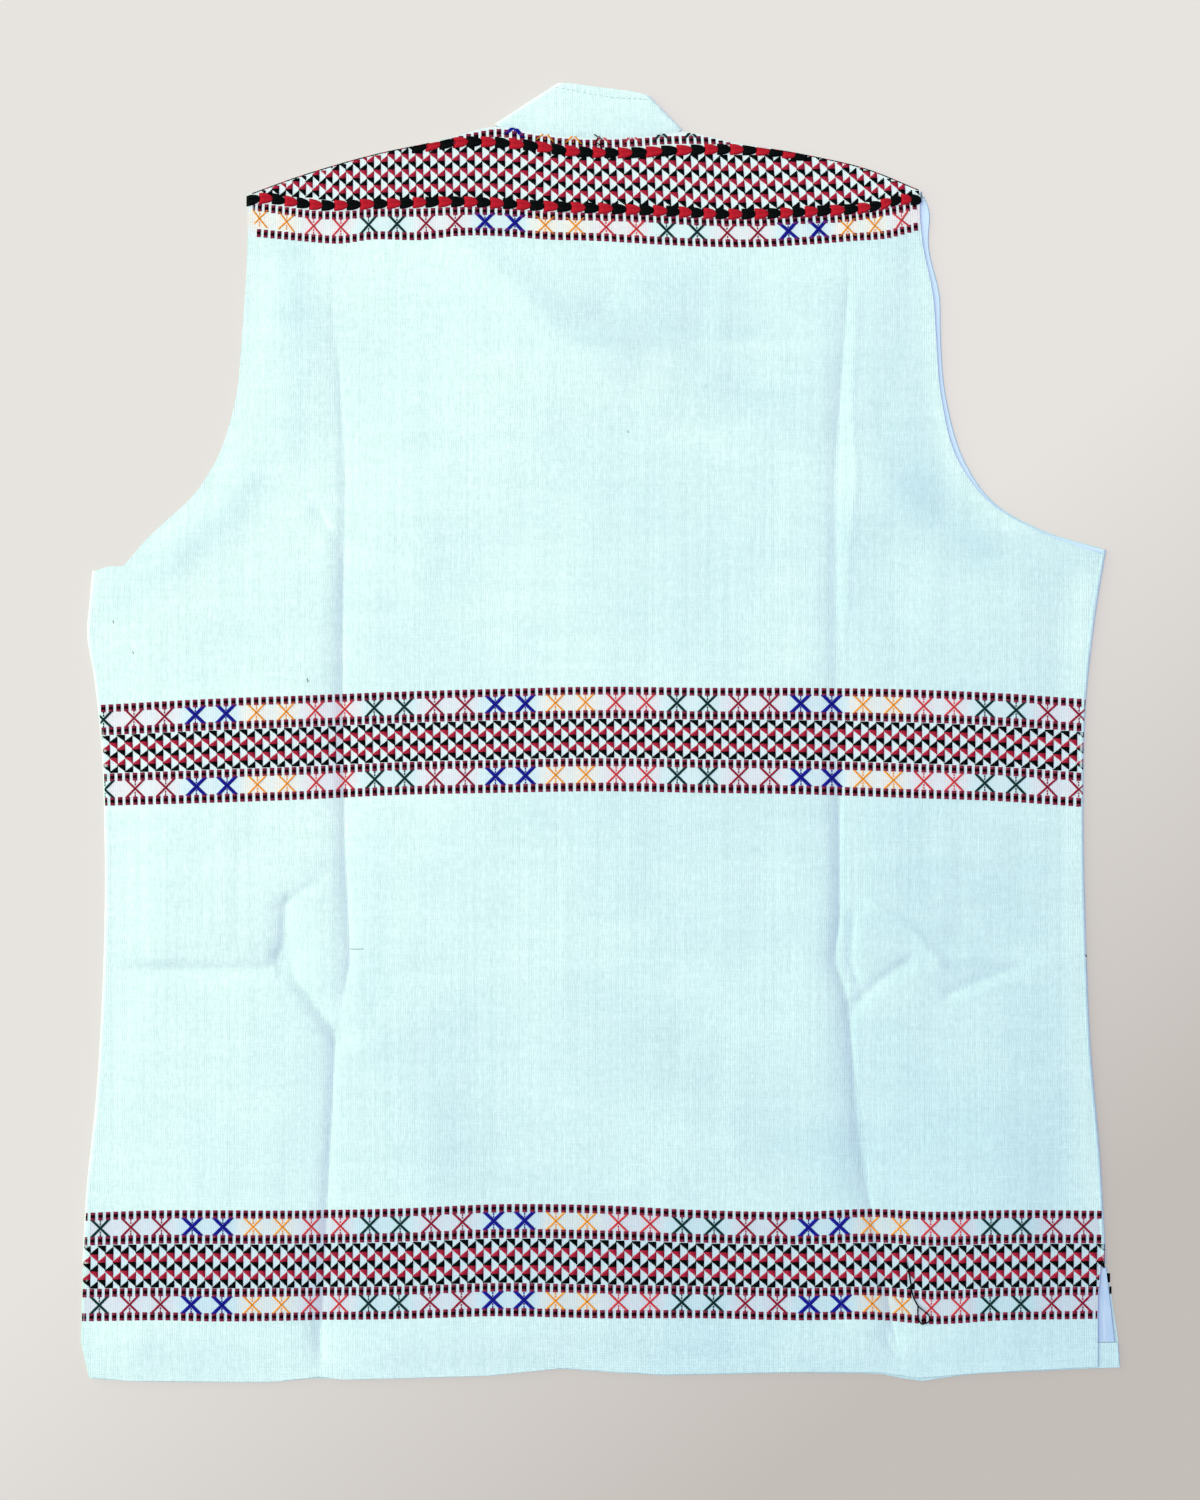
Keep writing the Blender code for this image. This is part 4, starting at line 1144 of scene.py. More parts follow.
def tubes(name, rings, yarns):
    """Closed tubes, one for each yarn, given as rings of points: quads run round each tube from
    ring to ring, and a cap closes either end."""
    count, stations, around = rings.shape[:3]
    ring, k = all_pairs(np.arange(stations - 1), np.arange(around))
    here, after = ring * around + k, ring * around + (k + 1) % around
    side = np.stack([here, here + around, after + around, after], axis=1)
    cap = np.arange(around)
    caps = np.stack([cap, (stations - 1) * around + cap[::-1]])
    first = stations * around * np.arange(count)[:, None, None]
    faces = (first + side).reshape(-1, 4).tolist() + (first + caps).reshape(-1, around).tolist()
    owners = np.concatenate([np.repeat(yarns, len(side)), np.repeat(yarns, len(caps))])
    return yarn_piece(name, rings, faces, owners)


def back_grid():
    """The back's points in plan: rows from hem to shoulders, columns dense at edges and creases."""
    left = LEFT[:, :2] + (SEAM_GAP, 0.0)
    right = RIGHT[:, :2] - (SEAM_GAP, 0.0)
    heights = (left[:, 1] + right[:, 1]) / 2
    beside = np.array(CREASE_COLUMNS)
    edge = np.array(EDGE_COLUMNS)
    knots = np.hstack([
        left[:, :1] + edge,
        np.interp(heights, CREASES.y, CREASES.left_x)[:, None] + beside,
        np.interp(heights, CREASES.y, CREASES.right_x)[:, None] + beside,
        right[:, :1] - edge[::-1],
    ])
    at_edge = (1,) * (len(edge) - 1)
    at_crease = (1,) * (len(beside) - 1)
    outer_left, middle, outer_right = BETWEEN_COLUMNS
    counts = (*at_edge, outer_left, *at_crease, middle, *at_crease, outer_right, *at_edge)
    x = spread(knots, counts)
    y = row_heights(x, left, right, back_hem, top_y)
    centre = y[:, y.shape[1] // 2]
    low, high = FINE_HEIGHTS
    rows = np.flatnonzero((centre > low) & (centre < high))
    across = x[rows[len(rows) // 2]]
    columns = np.concatenate([
        np.flatnonzero((across > start) & (across < end)) for start, end in FINE_REACHES
    ])
    return with_edge_rows(refined(x, rows, columns)), with_edge_rows(refined(y, rows, columns))


def yoke_edge(name, x):
    """One of the yoke's lines at each place across."""
    return straight_on(YOKE_LINES.x, getattr(YOKE_LINES, name), x)


# A band for its ground: its two edges, and where its crosses lie and how their colours repeat.
Band = namedtuple("Band", "top bottom drift crosses first_pair pair_start light")


def bands_at(x):
    """The bands of the waist, the hem and the yoke at each place across."""
    found = [
        Band(
            straight_on(spans.x, spans.top, x), straight_on(spans.x, spans.bottom, x), drift,
            lines.crosses, 0, 1, light,
        )
        for spans, drift, lines, light in (
            (WAIST_SPANS, WAIST_DRIFT, WAIST_LINES, WAIST_PAINTED_LIGHT),
            (HEM_SPANS, HEM_DRIFT, HEM_LINES, HEM_PAINTED_LIGHT),
        )
    ]
    found.append(Band(
        yoke_edge("crosses", x) + YOKE_EDGE_ABOVE, yoke_edge("edge", x) - YOKE_DASH_HEIGHT / 2,
        YOKE_DRIFT, (YOKE_CROSS_SHARE,), YOKE_FIRST_PAIR, 0, YOKE_PAINTED_LIGHT,
    ))
    return found


def band_ground(x, y):
    """The ground's colour at each point, and as its fourth value how many millimetres it lies
    inside the nearest band. Beside a cross the ground takes on its colour, and elsewhere in a band
    it is plain. Painted shade darkens it towards each band's right end and down the garment."""
    tints = np.array([linear(GROUND_TINTS[name]) for name in CROSS_CYCLE])
    plain_ground = np.array(linear(PLAIN_GROUND))
    ground = np.broadcast_to(plain_ground, (*x.shape, 3)).copy()
    inside = np.full(x.shape, FAR_OUTSIDE)
    across = (x[..., None] / WIDEST + 1) / 2
    for band in bands_at(x):
        number = np.interp(x, band.drift.upper, band.drift.cross)
        nearest = np.round(number).astype(int)
        tint = tints[((nearest + band.pair_start) // 2 + band.first_pair) % len(tints)]
        high = band.top - band.bottom
        share = (band.top - y) / high
        off = np.min([np.abs(share - line) for line in band.crosses], axis=0) * high
        beside = 1 - smoothstep((off - TINT_HALF) / TINT_FADE)
        beside *= 1 - smoothstep((np.abs(number - nearest) - TINT_SPREAD) / TINT_SPREAD) / 2
        # Painted shade: the ground is darkened from each band's left end to its right.
        left_light, right_light = np.array(band.light)
        light = left_light + across * (right_light - left_light)
        here = light * (plain_ground + beside[..., None] * (tint - plain_ground))
        mine = np.minimum(band.top - y, y - band.bottom)
        ground = np.where((mine > -TINT_FADE)[..., None], here, ground)
        inside = np.maximum(inside, mine)
    # The yoke's band comes last, and all above its lower edge is in it.
    inside = np.maximum(inside, y - band.bottom)
    return np.concatenate([ground, inside[..., None]], axis=-1)


def make_back():
    """The back: its plan's grid at the height of the cloth's outer face, with the colour of the
    ground in the bands and the patches of painted shade and light kept on its points. Gives its neck
    edge."""
    x, y = back_grid()
    points = np.stack([x, y, cloth_height(x, y)], axis=2)
    back = cloth_piece("back_cloth", points, CLOTH, True)
    ground = band_ground(x, y)
    data = back.data.attributes.new("band_ground", "FLOAT_COLOR", "POINT").data
    data.foreach_set("color", ground.ravel())
    add_values(back.data, "band_inside", ground[..., 3])
    add_values(back.data, "dull_patches", crinkle_lift(PAINTED_SHADING_PATCHES, x, y))
    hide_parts("back_panel")
    return points[-1, :, :2]


def neckline_at(neck_point, side, angles, inset):
    """A quarter ellipse from the front edge, at angle nothing, to the neck point."""
    start_x = -side * LAP
    wide = neck_point[0] - start_x - side * inset
    deep = neck_point[1] - NECK_FRONT_Y - inset
    x = start_x + wide * np.sin(angles)
    y = neck_point[1] - deep * np.cos(angles)
    return np.stack([x, y], axis=1)


def front_inner_edge(outer, neck_point, side):
    """The centre front edge, level with the outer rows, and then the neckline."""
    steps = NECK_STEPS * FINE
    free = LAST_ROW - steps
    x = np.full(free, -side * LAP)
    y = outer[:free, 1].copy()
    above = np.arange(UNDERARM_ROW, free)
    t = (above - UNDERARM_ROW) / (free - UNDERARM_ROW)
    y[above] = outer[UNDERARM_ROW, 1] * (1 - t) + NECK_FRONT_Y * t
    y[0] = front_hem(x[0])
    neck = neckline_at(neck_point, side, np.linspace(0, np.pi / 2, steps + 1), 0.0)
    return np.vstack([np.stack([x, y], axis=1), neck])


def flat_front(rows, outer, neck_point, side):
    """The part of a front that lies flat, from its centre edge and neckline to its outer edge. The
    right one rises on a ramp by one layer where it lies on the left one."""
    inner = front_inner_edge(rows[:, 2:], neck_point, side)
    if side < 0:
        x = spread(np.stack([inner[:, 0], outer[:, 0]], axis=1), (FRONT_COLUMNS,))
        y = row_heights(x, outer, inner, front_hem, top_y)
        return np.stack([x, y, np.zeros_like(x)], axis=2)
    ramp_x = RAMP_START + np.array([0.0, RAMP / 2, RAMP])
    beside = inner[:, :1] + LEAST_COLUMN * np.arange(1, len(ramp_x) + 1)
    knots = np.hstack([inner[:, :1], np.maximum(ramp_x, beside), outer[:, :1]])
    x = spread(knots, (*RAMP_COLUMNS, FRONT_COLUMNS))
    y = row_heights(x, inner, outer, front_hem, top_y)
    return np.stack([x, y, LINING_LEVEL * (1 - smoothstep((x - RAMP_START) / RAMP))], axis=2)


def front_points(rows, neck_point, side):
    """A flat panel whose outer edge turns up round the side fold, between vent and underarm: the
    fold is half a circle, and the strip past it lies level with the back's seam. A last row lifts
    the shoulder seam to meet the back."""
    outer = rows[:, 2:].copy()
    outer[VENT_ROW:UNDERARM_ROW + 1, 0] -= side * SIDE_RADIUS
    flat = flat_front(rows, outer, neck_point, side)
    turn = np.linspace(-np.pi / 2, np.pi / 2, FOLD_COLUMNS + 1)[1:]
    arc = np.stack([
        outer[:, :1] + side * SIDE_RADIUS * np.cos(turn),
        outer[:, 1:] * np.ones(len(turn)),
        SIDE_RADIUS * (1 + np.sin(turn)) * np.ones((len(rows), 1)),
    ], axis=2)
    if side > 0:
        seam_x = rows[:, :1] + SEAM_GAP
        dip = SEAM_DIP * np.ones((len(rows), 1))
    else:
        seam_x = rows[:, :1] + SEAM_LAP
        dip = UNDERARM_DIP * smoothstep((rows[:, 1:2] - UNDERARM_SEAM) / UNDERARM_RUN) - SEAM_RISE
    share = np.array([0.5, 1.0])
    strip = np.stack([
        arc[:, -1:, 0] * (1 - share) + seam_x * share,
        rows[:, 1:2] * np.ones(2),
        BACK_TOP - dip * share ** 2,
    ], axis=2)
    points = np.concatenate([flat, arc, strip], axis=1)
    below = points[-1:] - (0.0, SHOULDER_TURN, 0.0)
    points = np.concatenate([points[:-1], below, points[-1:]])
    points[-1, :, 2] = LINING_LEVEL
    kept = np.ones((len(points) - 1, points.shape[1] - 1), bool)
    kept[:VENT_ROW, flat.shape[1] - 1:] = False
    kept[UNDERARM_ROW:, flat.shape[1] - 1:] = False
    return points, kept


def make_fronts():
    """Both fronts, the left one face down below and the right one lapping over it."""
    sides = (
        ("front_left_cloth", "front_left", LEFT, NECK_LEFT, -1, 0.188),
        ("front_right_cloth", "front_right", RIGHT, NECK_RIGHT, 1, 0.184),
    )
    for name, node, rows, neck_point, side, area in sides:
        points, kept = front_points(rows, neck_point, side)
        front = cloth_piece(name, points, CLOTH, side < 0, kept)
        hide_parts(node)


def make_lining():
    """The right front's lining, level, from the turned-up hem to just short of the shoulder seam:
    the front's own edges moved in by the lining's insets."""
    rows = RIGHT[TURN_ROW:]
    vent_row, underarm_row = VENT_ROW - TURN_ROW, UNDERARM_ROW - TURN_ROW
    outer = rows[:, 2:].copy()
    down = (outer[vent_row, 1] - outer[:, 1]) / (outer[vent_row, 1] - outer[0, 1])
    outer[:, 0] -= LINING_VENT_TOP + (LINING_VENT_INSET - LINING_VENT_TOP) * np.clip(down, 0, 1)
    seam = slice(vent_row, underarm_row + 1)
    outer[seam, 0] = rows[seam, 2] - SIDE_RADIUS - LINING_SEAM_INSET
    above = slice(underarm_row + 1, None)
    outer[above] = rows[above, 2:] - LINING_EDGE_INSET
    inner = front_inner_edge(RIGHT[:, 2:], NECK_RIGHT, 1)[TURN_ROW:]
    inner[:, 0] = np.maximum(inner[:, 0] + LINING_NECK_INSET, LAP + LINING_INSET)
    inner[0, 1] = outer[0, 1]
    inner[-1, 1] -= SHOULDER_TURN + LINING_EDGE_INSET
    outer[-1, 1] -= SHOULDER_TURN

    def hem(x):
        """The lining's lower edge, level all the way across."""
        return np.full_like(x, outer[0, 1])

    def top(x):
        """Its upper edge, as far below the shoulder seam as the turn and the inset."""
        return top_y(x) - SHOULDER_TURN - LINING_EDGE_INSET

    x = spread(np.stack([inner[:, 0], outer[:, 0]], axis=1), (FRONT_COLUMNS,))
    y = row_heights(x, inner, outer, hem, top)
    points = np.stack([x, y, np.full_like(x, LINING_LEVEL + CLOTH)], axis=2)
    lining = cloth_piece("right_lining", points, CLOTH, True, lining=True)
    # Painted light: beside the armhole the lining is painted paler, as where it lies open to the
    # light.
    faded = np.zeros_like(x)
    faded[underarm_row:, -2:] = 1.0
    add_values(lining.data, "faded", faded)
    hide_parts("front_right_lining")


def make_turned_hem():
    """The right front's hem allowance, turned up on its inner face below the lining."""
    edge = RIGHT[:TURN_ROW + 1, 2:]
    x = np.linspace(LAP + LINING_INSET, edge[0, 0] - LINING_EDGE_INSET, FRONT_COLUMNS + 1)
    low = front_hem(x) + HEM_INSET
    high = np.full_like(x, edge[-1, 1] - GAP)
    high_x = np.append(x[:-1], edge[-1, 0] - LINING_EDGE_INSET)
    up = np.linspace(0, 1, HEM_ROWS + 1)[:, None]
    plan_x = x * (1 - up) + high_x * up
    plan_y = low * (1 - up) + high * up
    points = np.stack([plan_x, plan_y, np.full_like(plan_x, LINING_LEVEL + CLOTH)], axis=2)
    hem = cloth_piece("right_turned_hem", points, CLOTH, True)
    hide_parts("front_right_hem")


def collar_front(neck_point, top_point, side):
    """The half of the collar under the back: lower and upper edge, from its end to the fold."""
    start = np.arcsin((LAP + BAND_END_GAP) / abs(neck_point[0] + side * LAP))
    angles = np.linspace(0, np.pi / 2, NECK_STEPS * COLLAR_FINE + 1)
    angles = np.concatenate(([start], angles[angles > start + LEAST_TURN]))
    lower = neckline_at(neck_point, side, angles, 2 * GAP)
    wide = top_point[0] - side * BAND_END_GAP
    deep = top_point[1] - NECK_FRONT_Y - BAND_HEIGHT
    t = (angles - start) / (np.pi / 2 - start) * np.pi / 2
    upper = np.stack([
        side * BAND_END_GAP + wide * np.sin(t), top_point[1] - deep * np.cos(t),
    ], axis=1)
    return lower, upper


def collar_half(neck_point, top_point, side, back_edge):
    """One front half of the collar and its side fold: lower edge, upper edge and level. The fold is
    half a circle, square to the line of the collar's side."""
    turn = np.linspace(-np.pi / 2, np.pi / 2, FOLD_COLUMNS + 1)
    low, high = collar_front(neck_point, top_point, side)
    run = np.subtract(top_point, neck_point)
    out = np.array([run[1], -run[0]]) * side / np.hypot(*run)
    # The fold's upper end slides along the top edge's own line, and so stays on it.
    along = np.subtract(COLLAR_EDGE[0 if side > 0 else -1], top_point)
    along /= np.hypot(*along)
    slide = COLLAR_RADIUS * (1 - np.cos(turn)) / -(out @ along)
    folded = top_point + slide[:, None] * along
    low[-1] -= out * COLLAR_RADIUS
    high[-1] = folded[0]
    turn = turn[1:]
    foot = np.array(neck_point) + COLLAR_RADIUS * (np.cos(turn) - 1)[:, None] * out
    foot[:, 1] = np.interp(foot[:, 0], *back_edge.T) + GAP
    foot[:, 1] += COLLAR_WALL * out[1] * np.cos(turn)
    level = np.concatenate([np.zeros(len(low)), COLLAR_RADIUS * (1 + np.sin(turn))])
    return np.vstack([low, foot]), np.vstack([high, folded[1:]]), level


def make_collar(back_edge):
    """One strip: the right front half, the right fold, the back, the left fold, the left half. Its
    back puffs up a little between the seam and the row of stitches near its upper edge."""
    right = collar_half(NECK_RIGHT, BAND_RIGHT_TOP, 1, back_edge)
    left = collar_half(NECK_LEFT, BAND_LEFT_TOP, -1, back_edge)
    x = back_edge[:, 0]
    x = x[(x > left[0][-1, 0] + GAP) & (x < right[0][-1, 0] - GAP)][::-1]
    seam = np.stack([x, np.interp(x, *back_edge.T) - SEAM_LAP], axis=1)
    edge = smooth_curve((right[1][-1], *COLLAR_EDGE, left[1][-1]), len(x) + 2)[1:-1]
    lower = np.vstack([right[0], seam, left[0][::-1]])
    upper = np.vstack([right[1], edge, left[1][::-1]])
    level = np.concatenate([right[2], np.full(len(x), COLLAR_TOP), left[2][::-1]])
    up = np.linspace(0, 1, COLLAR_ROWS + 1)[:, None]
    plan = lower * (1 - up[:, :, None]) + upper * up[:, :, None]
    shown = smoothstep((level - COLLAR_RADIUS) / COLLAR_RADIUS)
    height = np.hypot(*(upper - lower).T)
    puff = COLLAR_PUFF * np.sin(np.pi * up) ** PUFF_POWER
    groove = STITCH_GROOVE * np.exp(-(((1 - up) * height - STITCH_INSET) / GROOVE_WIDTH) ** 2)
    foot = COLLAR_STEP * np.exp(-(up * height / COLLAR_FOOT) ** 2)
    z = level + shown * (puff - COLLAR_PUFF - groove - foot)
    points = np.concatenate([plan, z[:, :, None]], axis=2)
    collar = cloth_piece("collar_cloth", points, COLLAR_WALL, False)
    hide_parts("collar")
    inside = level > COLLAR_TOP - GAP
    share = (STITCH_INSET / height)[inside]
    line = upper[inside] * (1 - share[:, None]) + lower[inside] * share[:, None]
    depth = [np.interp(1 - part, up[:, 0], column) for part, column in zip(share, z.T[inside])]
    make_collar_stitches(np.column_stack([line, depth])[::-1])


def make_collar_stitches(line):
    """A row of stitches below the collar's upper edge, along a line of points from left to right."""
    run = path_length(line)
    step = bpy.context.scene.waistcoat_sizes.stitch_length + STITCH_APART
    begin = np.arange(0.0, run[-1] - step, step)

    def at(place):
        """The points of the line so far along it."""
        return np.stack([np.interp(place, run, line[:, 0]), np.interp(place, run, line[:, 1])], axis=1)

    def surface(x, y):
        """The line's own height at each place across."""
        return np.interp(x, line[:, 0], line[:, 2])

    strands(
        "collar_stitches", at(begin), at(begin + step - STITCH_APART),
        np.full(len(begin), STITCH_HALF), STITCH_RISE, surface, np.full(len(begin), "stitch"),
    )


def cross_x(drift, name, column):
    """Where a column of the band lies across the cloth: four columns to a cross, drifting."""
    return straight_on(drift.cross * CROSS_COLUMNS, getattr(drift, name), column)


def dash_floats(columns):
    """A row of dashes: for each column, the picks of one dash, as column ends, rise and yarn."""
    picks = np.array(DASH_PICKS)
    share = (np.arange(len(picks)) + 0.5) / len(picks)
    pick, column = all_pairs(np.arange(len(picks)), columns)
    return column - DASH_HALF_COLUMN, column + DASH_HALF_COLUMN, share[pick], picks[pick]


def triangle_floats(columns, rows):
    """Left-pointing triangles in two sets of columns that interlock. Each has a vertical right
    side and two slopes that fall back to it pick by pick, and the half on one side of its line is
    black, the other red. The first and the last row are halves, and heights are shares of the
    rows' pitch."""
    found = []
    for row in range(rows + 1):
        first = row % 2 == 0
        mine = columns[columns % 2 == (1 if first else 0)]
        for above in (True, False):
            if (row == 0 and above) or (row == rows and not above):
                continue
            step, column = all_pairs(np.arange(TRIANGLE_PICKS), mine)
            wide = TRIANGLE_WIDTH * (1 - (step + TRIANGLE_START) / TRIANGLE_POINT)
            sign = 1 if above else -1
            dark = (above != first) or row == 0
            tone = np.full(column.shape, "black" if dark else "red")
            side = column - TRIANGLE_SIDE
            up = sign * (step + 0.5) / TRIANGLE_PICKS * TRIANGLE_HEIGHT
            found.append((side - wide, side, np.full(column.shape, row), up, tone))
    return [np.concatenate(part) for part in zip(*found)]


def cross_floats(crosses, first_pair, pair_start):
    """Diagonal crosses, and on the middle column two narrow dots above and below. The arms step
    aside from pick to pick, and the yarns cover them with floats of their own widths."""
    cycle = np.array(CROSS_CYCLE)
    tones = cycle[((crosses + pair_start) // 2 + first_pair) % len(cycle)]
    widths = np.array([CROSS_FLOATS[tone] for tone in tones])
    step, side = all_pairs(np.arange(-CROSS_ROWS, CROSS_ROWS + 1), (-1, 1))
    arms = np.stack([step, side * step * CROSS_STEP], axis=1)
    places = np.vstack([arms, [(step, 0.0) for step in CROSS_DOTS]])
    k, cross = all_pairs(np.arange(len(places)), np.arange(len(crosses)))
    step, off = places[k].T
    half = np.where(k < len(arms), widths[cross], DOT_FLOAT)
    centre = crosses[cross] * CROSS_COLUMNS + off
    return centre - half, centre + half, step * CROSS_PICK, tones[cross]


def floats(x0, x1, y, tone, half=FLOAT_HALF):
    """Floats as their ends across the cloth, height, yarn and half thickness."""
    return x0, x1, y, tone, np.full(y.shape, half)


def clipped(x0, x1, y, tone, half):
    """Floats cut off at the outline, without those that are then too short to show."""
    left, right = outline_sides(y)
    at_seam = (y <= VENT_TOP) | (y >= UNDERARM_SEAM)
    right = np.where(at_seam, back_sides(y)[1] - GAP, right - OUTLINE_MARGIN)
    x0 = np.maximum(x0, left + OUTLINE_MARGIN)
    x1 = np.minimum(x1, right)
    seam = np.minimum(top_y(x0), top_y(x1))
    kept = (x1 - x0 > LEAST_FLOAT) & (y < seam - half)
    return x0[kept], x1[kept], y[kept], tone[kept], half[kept]


def add_band(name, parts):
    """Puts the floats of a band on the outer face, as far as its outline."""
    x0, x1, y, tone, half = clipped(*[np.concatenate(part) for part in zip(*parts)])
    starts, ends = np.stack([x0, y], axis=1), np.stack([x1, y], axis=1)
    rise = bpy.context.scene.waistcoat_sizes.float_rise
    strands(name, starts, ends, half, rise, wrapped_height, tone)


def make_wide_band(name, spans, drift, lines):
    """The band of the waist or the hem. Every line of it is a share of the height between its two
    edges, and its columns lean from their places in the upper row of crosses to the lower."""
    columns = np.arange(-SPARE_COLUMNS, CROSS_COLUMNS * WIDE_BAND_CROSSES + SPARE_COLUMNS)
    crosses = np.arange(-1, WIDE_BAND_CROSSES + 1)
    upper, lower = lines.crosses

    def across(column, share):
        """A column's place across: straight on through its places in both rows of crosses."""
        lean = (share - upper) / (lower - upper)
        return cross_x(drift, "upper", column) * (1 - lean) + cross_x(drift, "lower", column) * lean

    def placed(s0, s1, middle, share, rise, tone, half):
        """Floats at a share of the height between the band's edges, and a rise above it."""
        x = across(middle, share)
        top = straight_on(spans.x, spans.top, x)
        y = top + share * (straight_on(spans.x, spans.bottom, x) - top) + rise
        return floats(across(s0, share), across(s1, share), y, tone, half)

    parts = []
    for top, bottom in lines.dashes:
        s0, s1, share, tone = dash_floats(columns)
        share = top + share * (bottom - top)
        parts.append(placed(s0, s1, (s0 + s1) / 2, share, 0.0, tone, FLOAT_HALF))
    for line in lines.crosses:
        s0, s1, rise, tone = cross_floats(crosses, 0, 1)
        share = np.full(s0.shape, line)
        parts.append(placed(s0, s1, (s0 + s1) / 2, share, rise, tone, CROSS_HALF))
    s0, s1, line, up, tone = triangle_floats(columns, WIDE_BAND_ROWS)
    first, last = lines.triangles
    share = first + (line - up) / WIDE_BAND_ROWS * (last - first)
    parts.append(placed(s0, s1, s1 - HALF_COLUMN, share, 0.0, tone, TRIANGLE_HALF))
    add_band(name, parts)


def make_yoke_band():
    """The yoke: triangles above and below the upper braid, crosses between two rows of dashes below
    the lower one, and a last row of dashes and half crosses that the neck seam cuts off."""
    columns = np.arange(-SPARE_COLUMNS, CROSS_COLUMNS * YOKE_CROSSES + 1)
    crosses = np.arange(0, YOKE_CROSSES + 1)

    def across(column, y):
        """A column's place across: its place at the crosses, leaning as far as it lies above."""
        x = cross_x(YOKE_DRIFT, "upper", column)
        return x + yoke_edge("lean", x) * (y - yoke_edge("crosses", x)) / YOKE_LEAN_HEIGHT

    def placed(s0, s1, y, tone, half=FLOAT_HALF):
        """Floats at these heights, from one column's place to the other's."""
        return floats(across(s0, y), across(s1, y), y, tone, half)

    def dashes(columns, line):
        """A row of dashes with its middle on the line."""
        s0, s1, share, tone = dash_floats(columns)
        middle = cross_x(YOKE_DRIFT, "upper", (s0 + s1) / 2)
        return placed(s0, s1, line(middle) + (0.5 - share) * YOKE_DASH_HEIGHT, tone)

    def crosses_on(numbers, line):
        """A row of crosses with its middle on the line."""
        s0, s1, rise, tone = cross_floats(numbers, YOKE_FIRST_PAIR, 0)
        middle = cross_x(YOKE_DRIFT, "upper", (s0 + s1) / 2)
        return placed(s0, s1, line(middle) + rise, tone, CROSS_HALF)

    def triangles():
        """The rows of triangles, each one pitch above the next, up from the lowest row's line."""
        s0, s1, line, up, tone = triangle_floats(columns, YOKE_TRIANGLE_ROWS)
        middle = cross_x(YOKE_DRIFT, "upper", s1 - HALF_COLUMN)
        above = (YOKE_TRIANGLE_ROWS - line + up) * yoke_edge("pitch", middle)
        return placed(s0, s1, yoke_edge("triangles", middle) + above, tone, TRIANGLE_HALF)

    neck_dashes = partial(straight_on, *YOKE_TOP_DASHES)

    def neck_crosses(x):
        """The line of the half crosses, so far above that of the neck's dashes."""
        return neck_dashes(x) + NECK_CROSS_RISE

    first, last = NECK_COLUMNS
    near_neck = columns[(columns > first) & (columns < last)]
    add_band("yoke_band_threads", [
        dashes(columns, partial(yoke_edge, "dashes")),
        dashes(columns, partial(yoke_edge, "edge")),
        crosses_on(crosses, partial(yoke_edge, "crosses")),
        triangles(),
        dashes(near_neck, neck_dashes),
        crosses_on(crosses[NECK_CROSSES], neck_crosses),
    ])


def make_edge_threads():
    """The pattern yarns that the other panels' bands bring round to this side: short lengths along
    the shoulder seams, and at the right side edge what shows of the front's own hem band."""
    x = np.concatenate([np.arange(*reach, SHOULDER_STEP) for reach in SHOULDER_REACHES])
    after = x + SHOULDER_STEP
    starts = [np.stack([x, top_y(x) - FLOAT_HALF], axis=1)]
    ends = [np.stack([after, top_y(after) - FLOAT_HALF], axis=1)]
    tones = [np.where(np.arange(len(x)) % SHOULDER_RED == 0, "red", "black")]
    for x0, x1, y0, y1, tone in EDGE_SCRAPS:
        y = np.arange(y1, y0, SCRAP_PITCH)
        starts.append(np.stack([np.full_like(y, x0), y], axis=1))
        ends.append(np.stack([np.full_like(y, x1), y], axis=1))
        tones.append(np.full(len(y), tone))
    starts, ends, tones = [np.concatenate(part) for part in (starts, ends, tones)]
    rise = bpy.context.scene.waistcoat_sizes.float_rise
    half = np.full(len(starts), FLOAT_HALF)
    strands("edge_threads", starts, ends, half, rise, edge_height, tones)


def make_bands():
    """The coloured floats of all bands."""
    make_wide_band("waist_band_threads", WAIST_SPANS, WAIST_DRIFT, WAIST_LINES)
    make_wide_band("hem_band_threads", HEM_SPANS, HEM_DRIFT, HEM_LINES)
    make_yoke_band()
    make_edge_threads()


def make_loose_threads():
    """Thread ends left on the cloth, each a closed tube of even thickness along a smooth curve that
    lies on the outer face, with its rings square to the curve as seen from above."""
    rings = []
    turn = np.linspace(0, 2 * np.pi, THREAD_SIDES, endpoint=False)
    for thread in LOOSE_THREADS:
        path = smooth_curve(thread.points, THREAD_RINGS)
        run = np.gradient(path, axis=0)
        across = np.stack([-run[:, 1], run[:, 0]], axis=1) / np.hypot(*run.T)[:, None]
        plan = path[:, None] + thread.radius * np.cos(turn)[None, :, None] * across[:, None]
        base = wrapped_height(*path.T) + thread.lift + thread.radius
        level = base[:, None] + thread.radius * np.sin(turn)
        rings.append(np.concatenate([plan, level[:, :, None]], axis=2))
    tones = [thread.tone for thread in LOOSE_THREADS]
    tubes("loose_threads", np.stack(rings), tones)


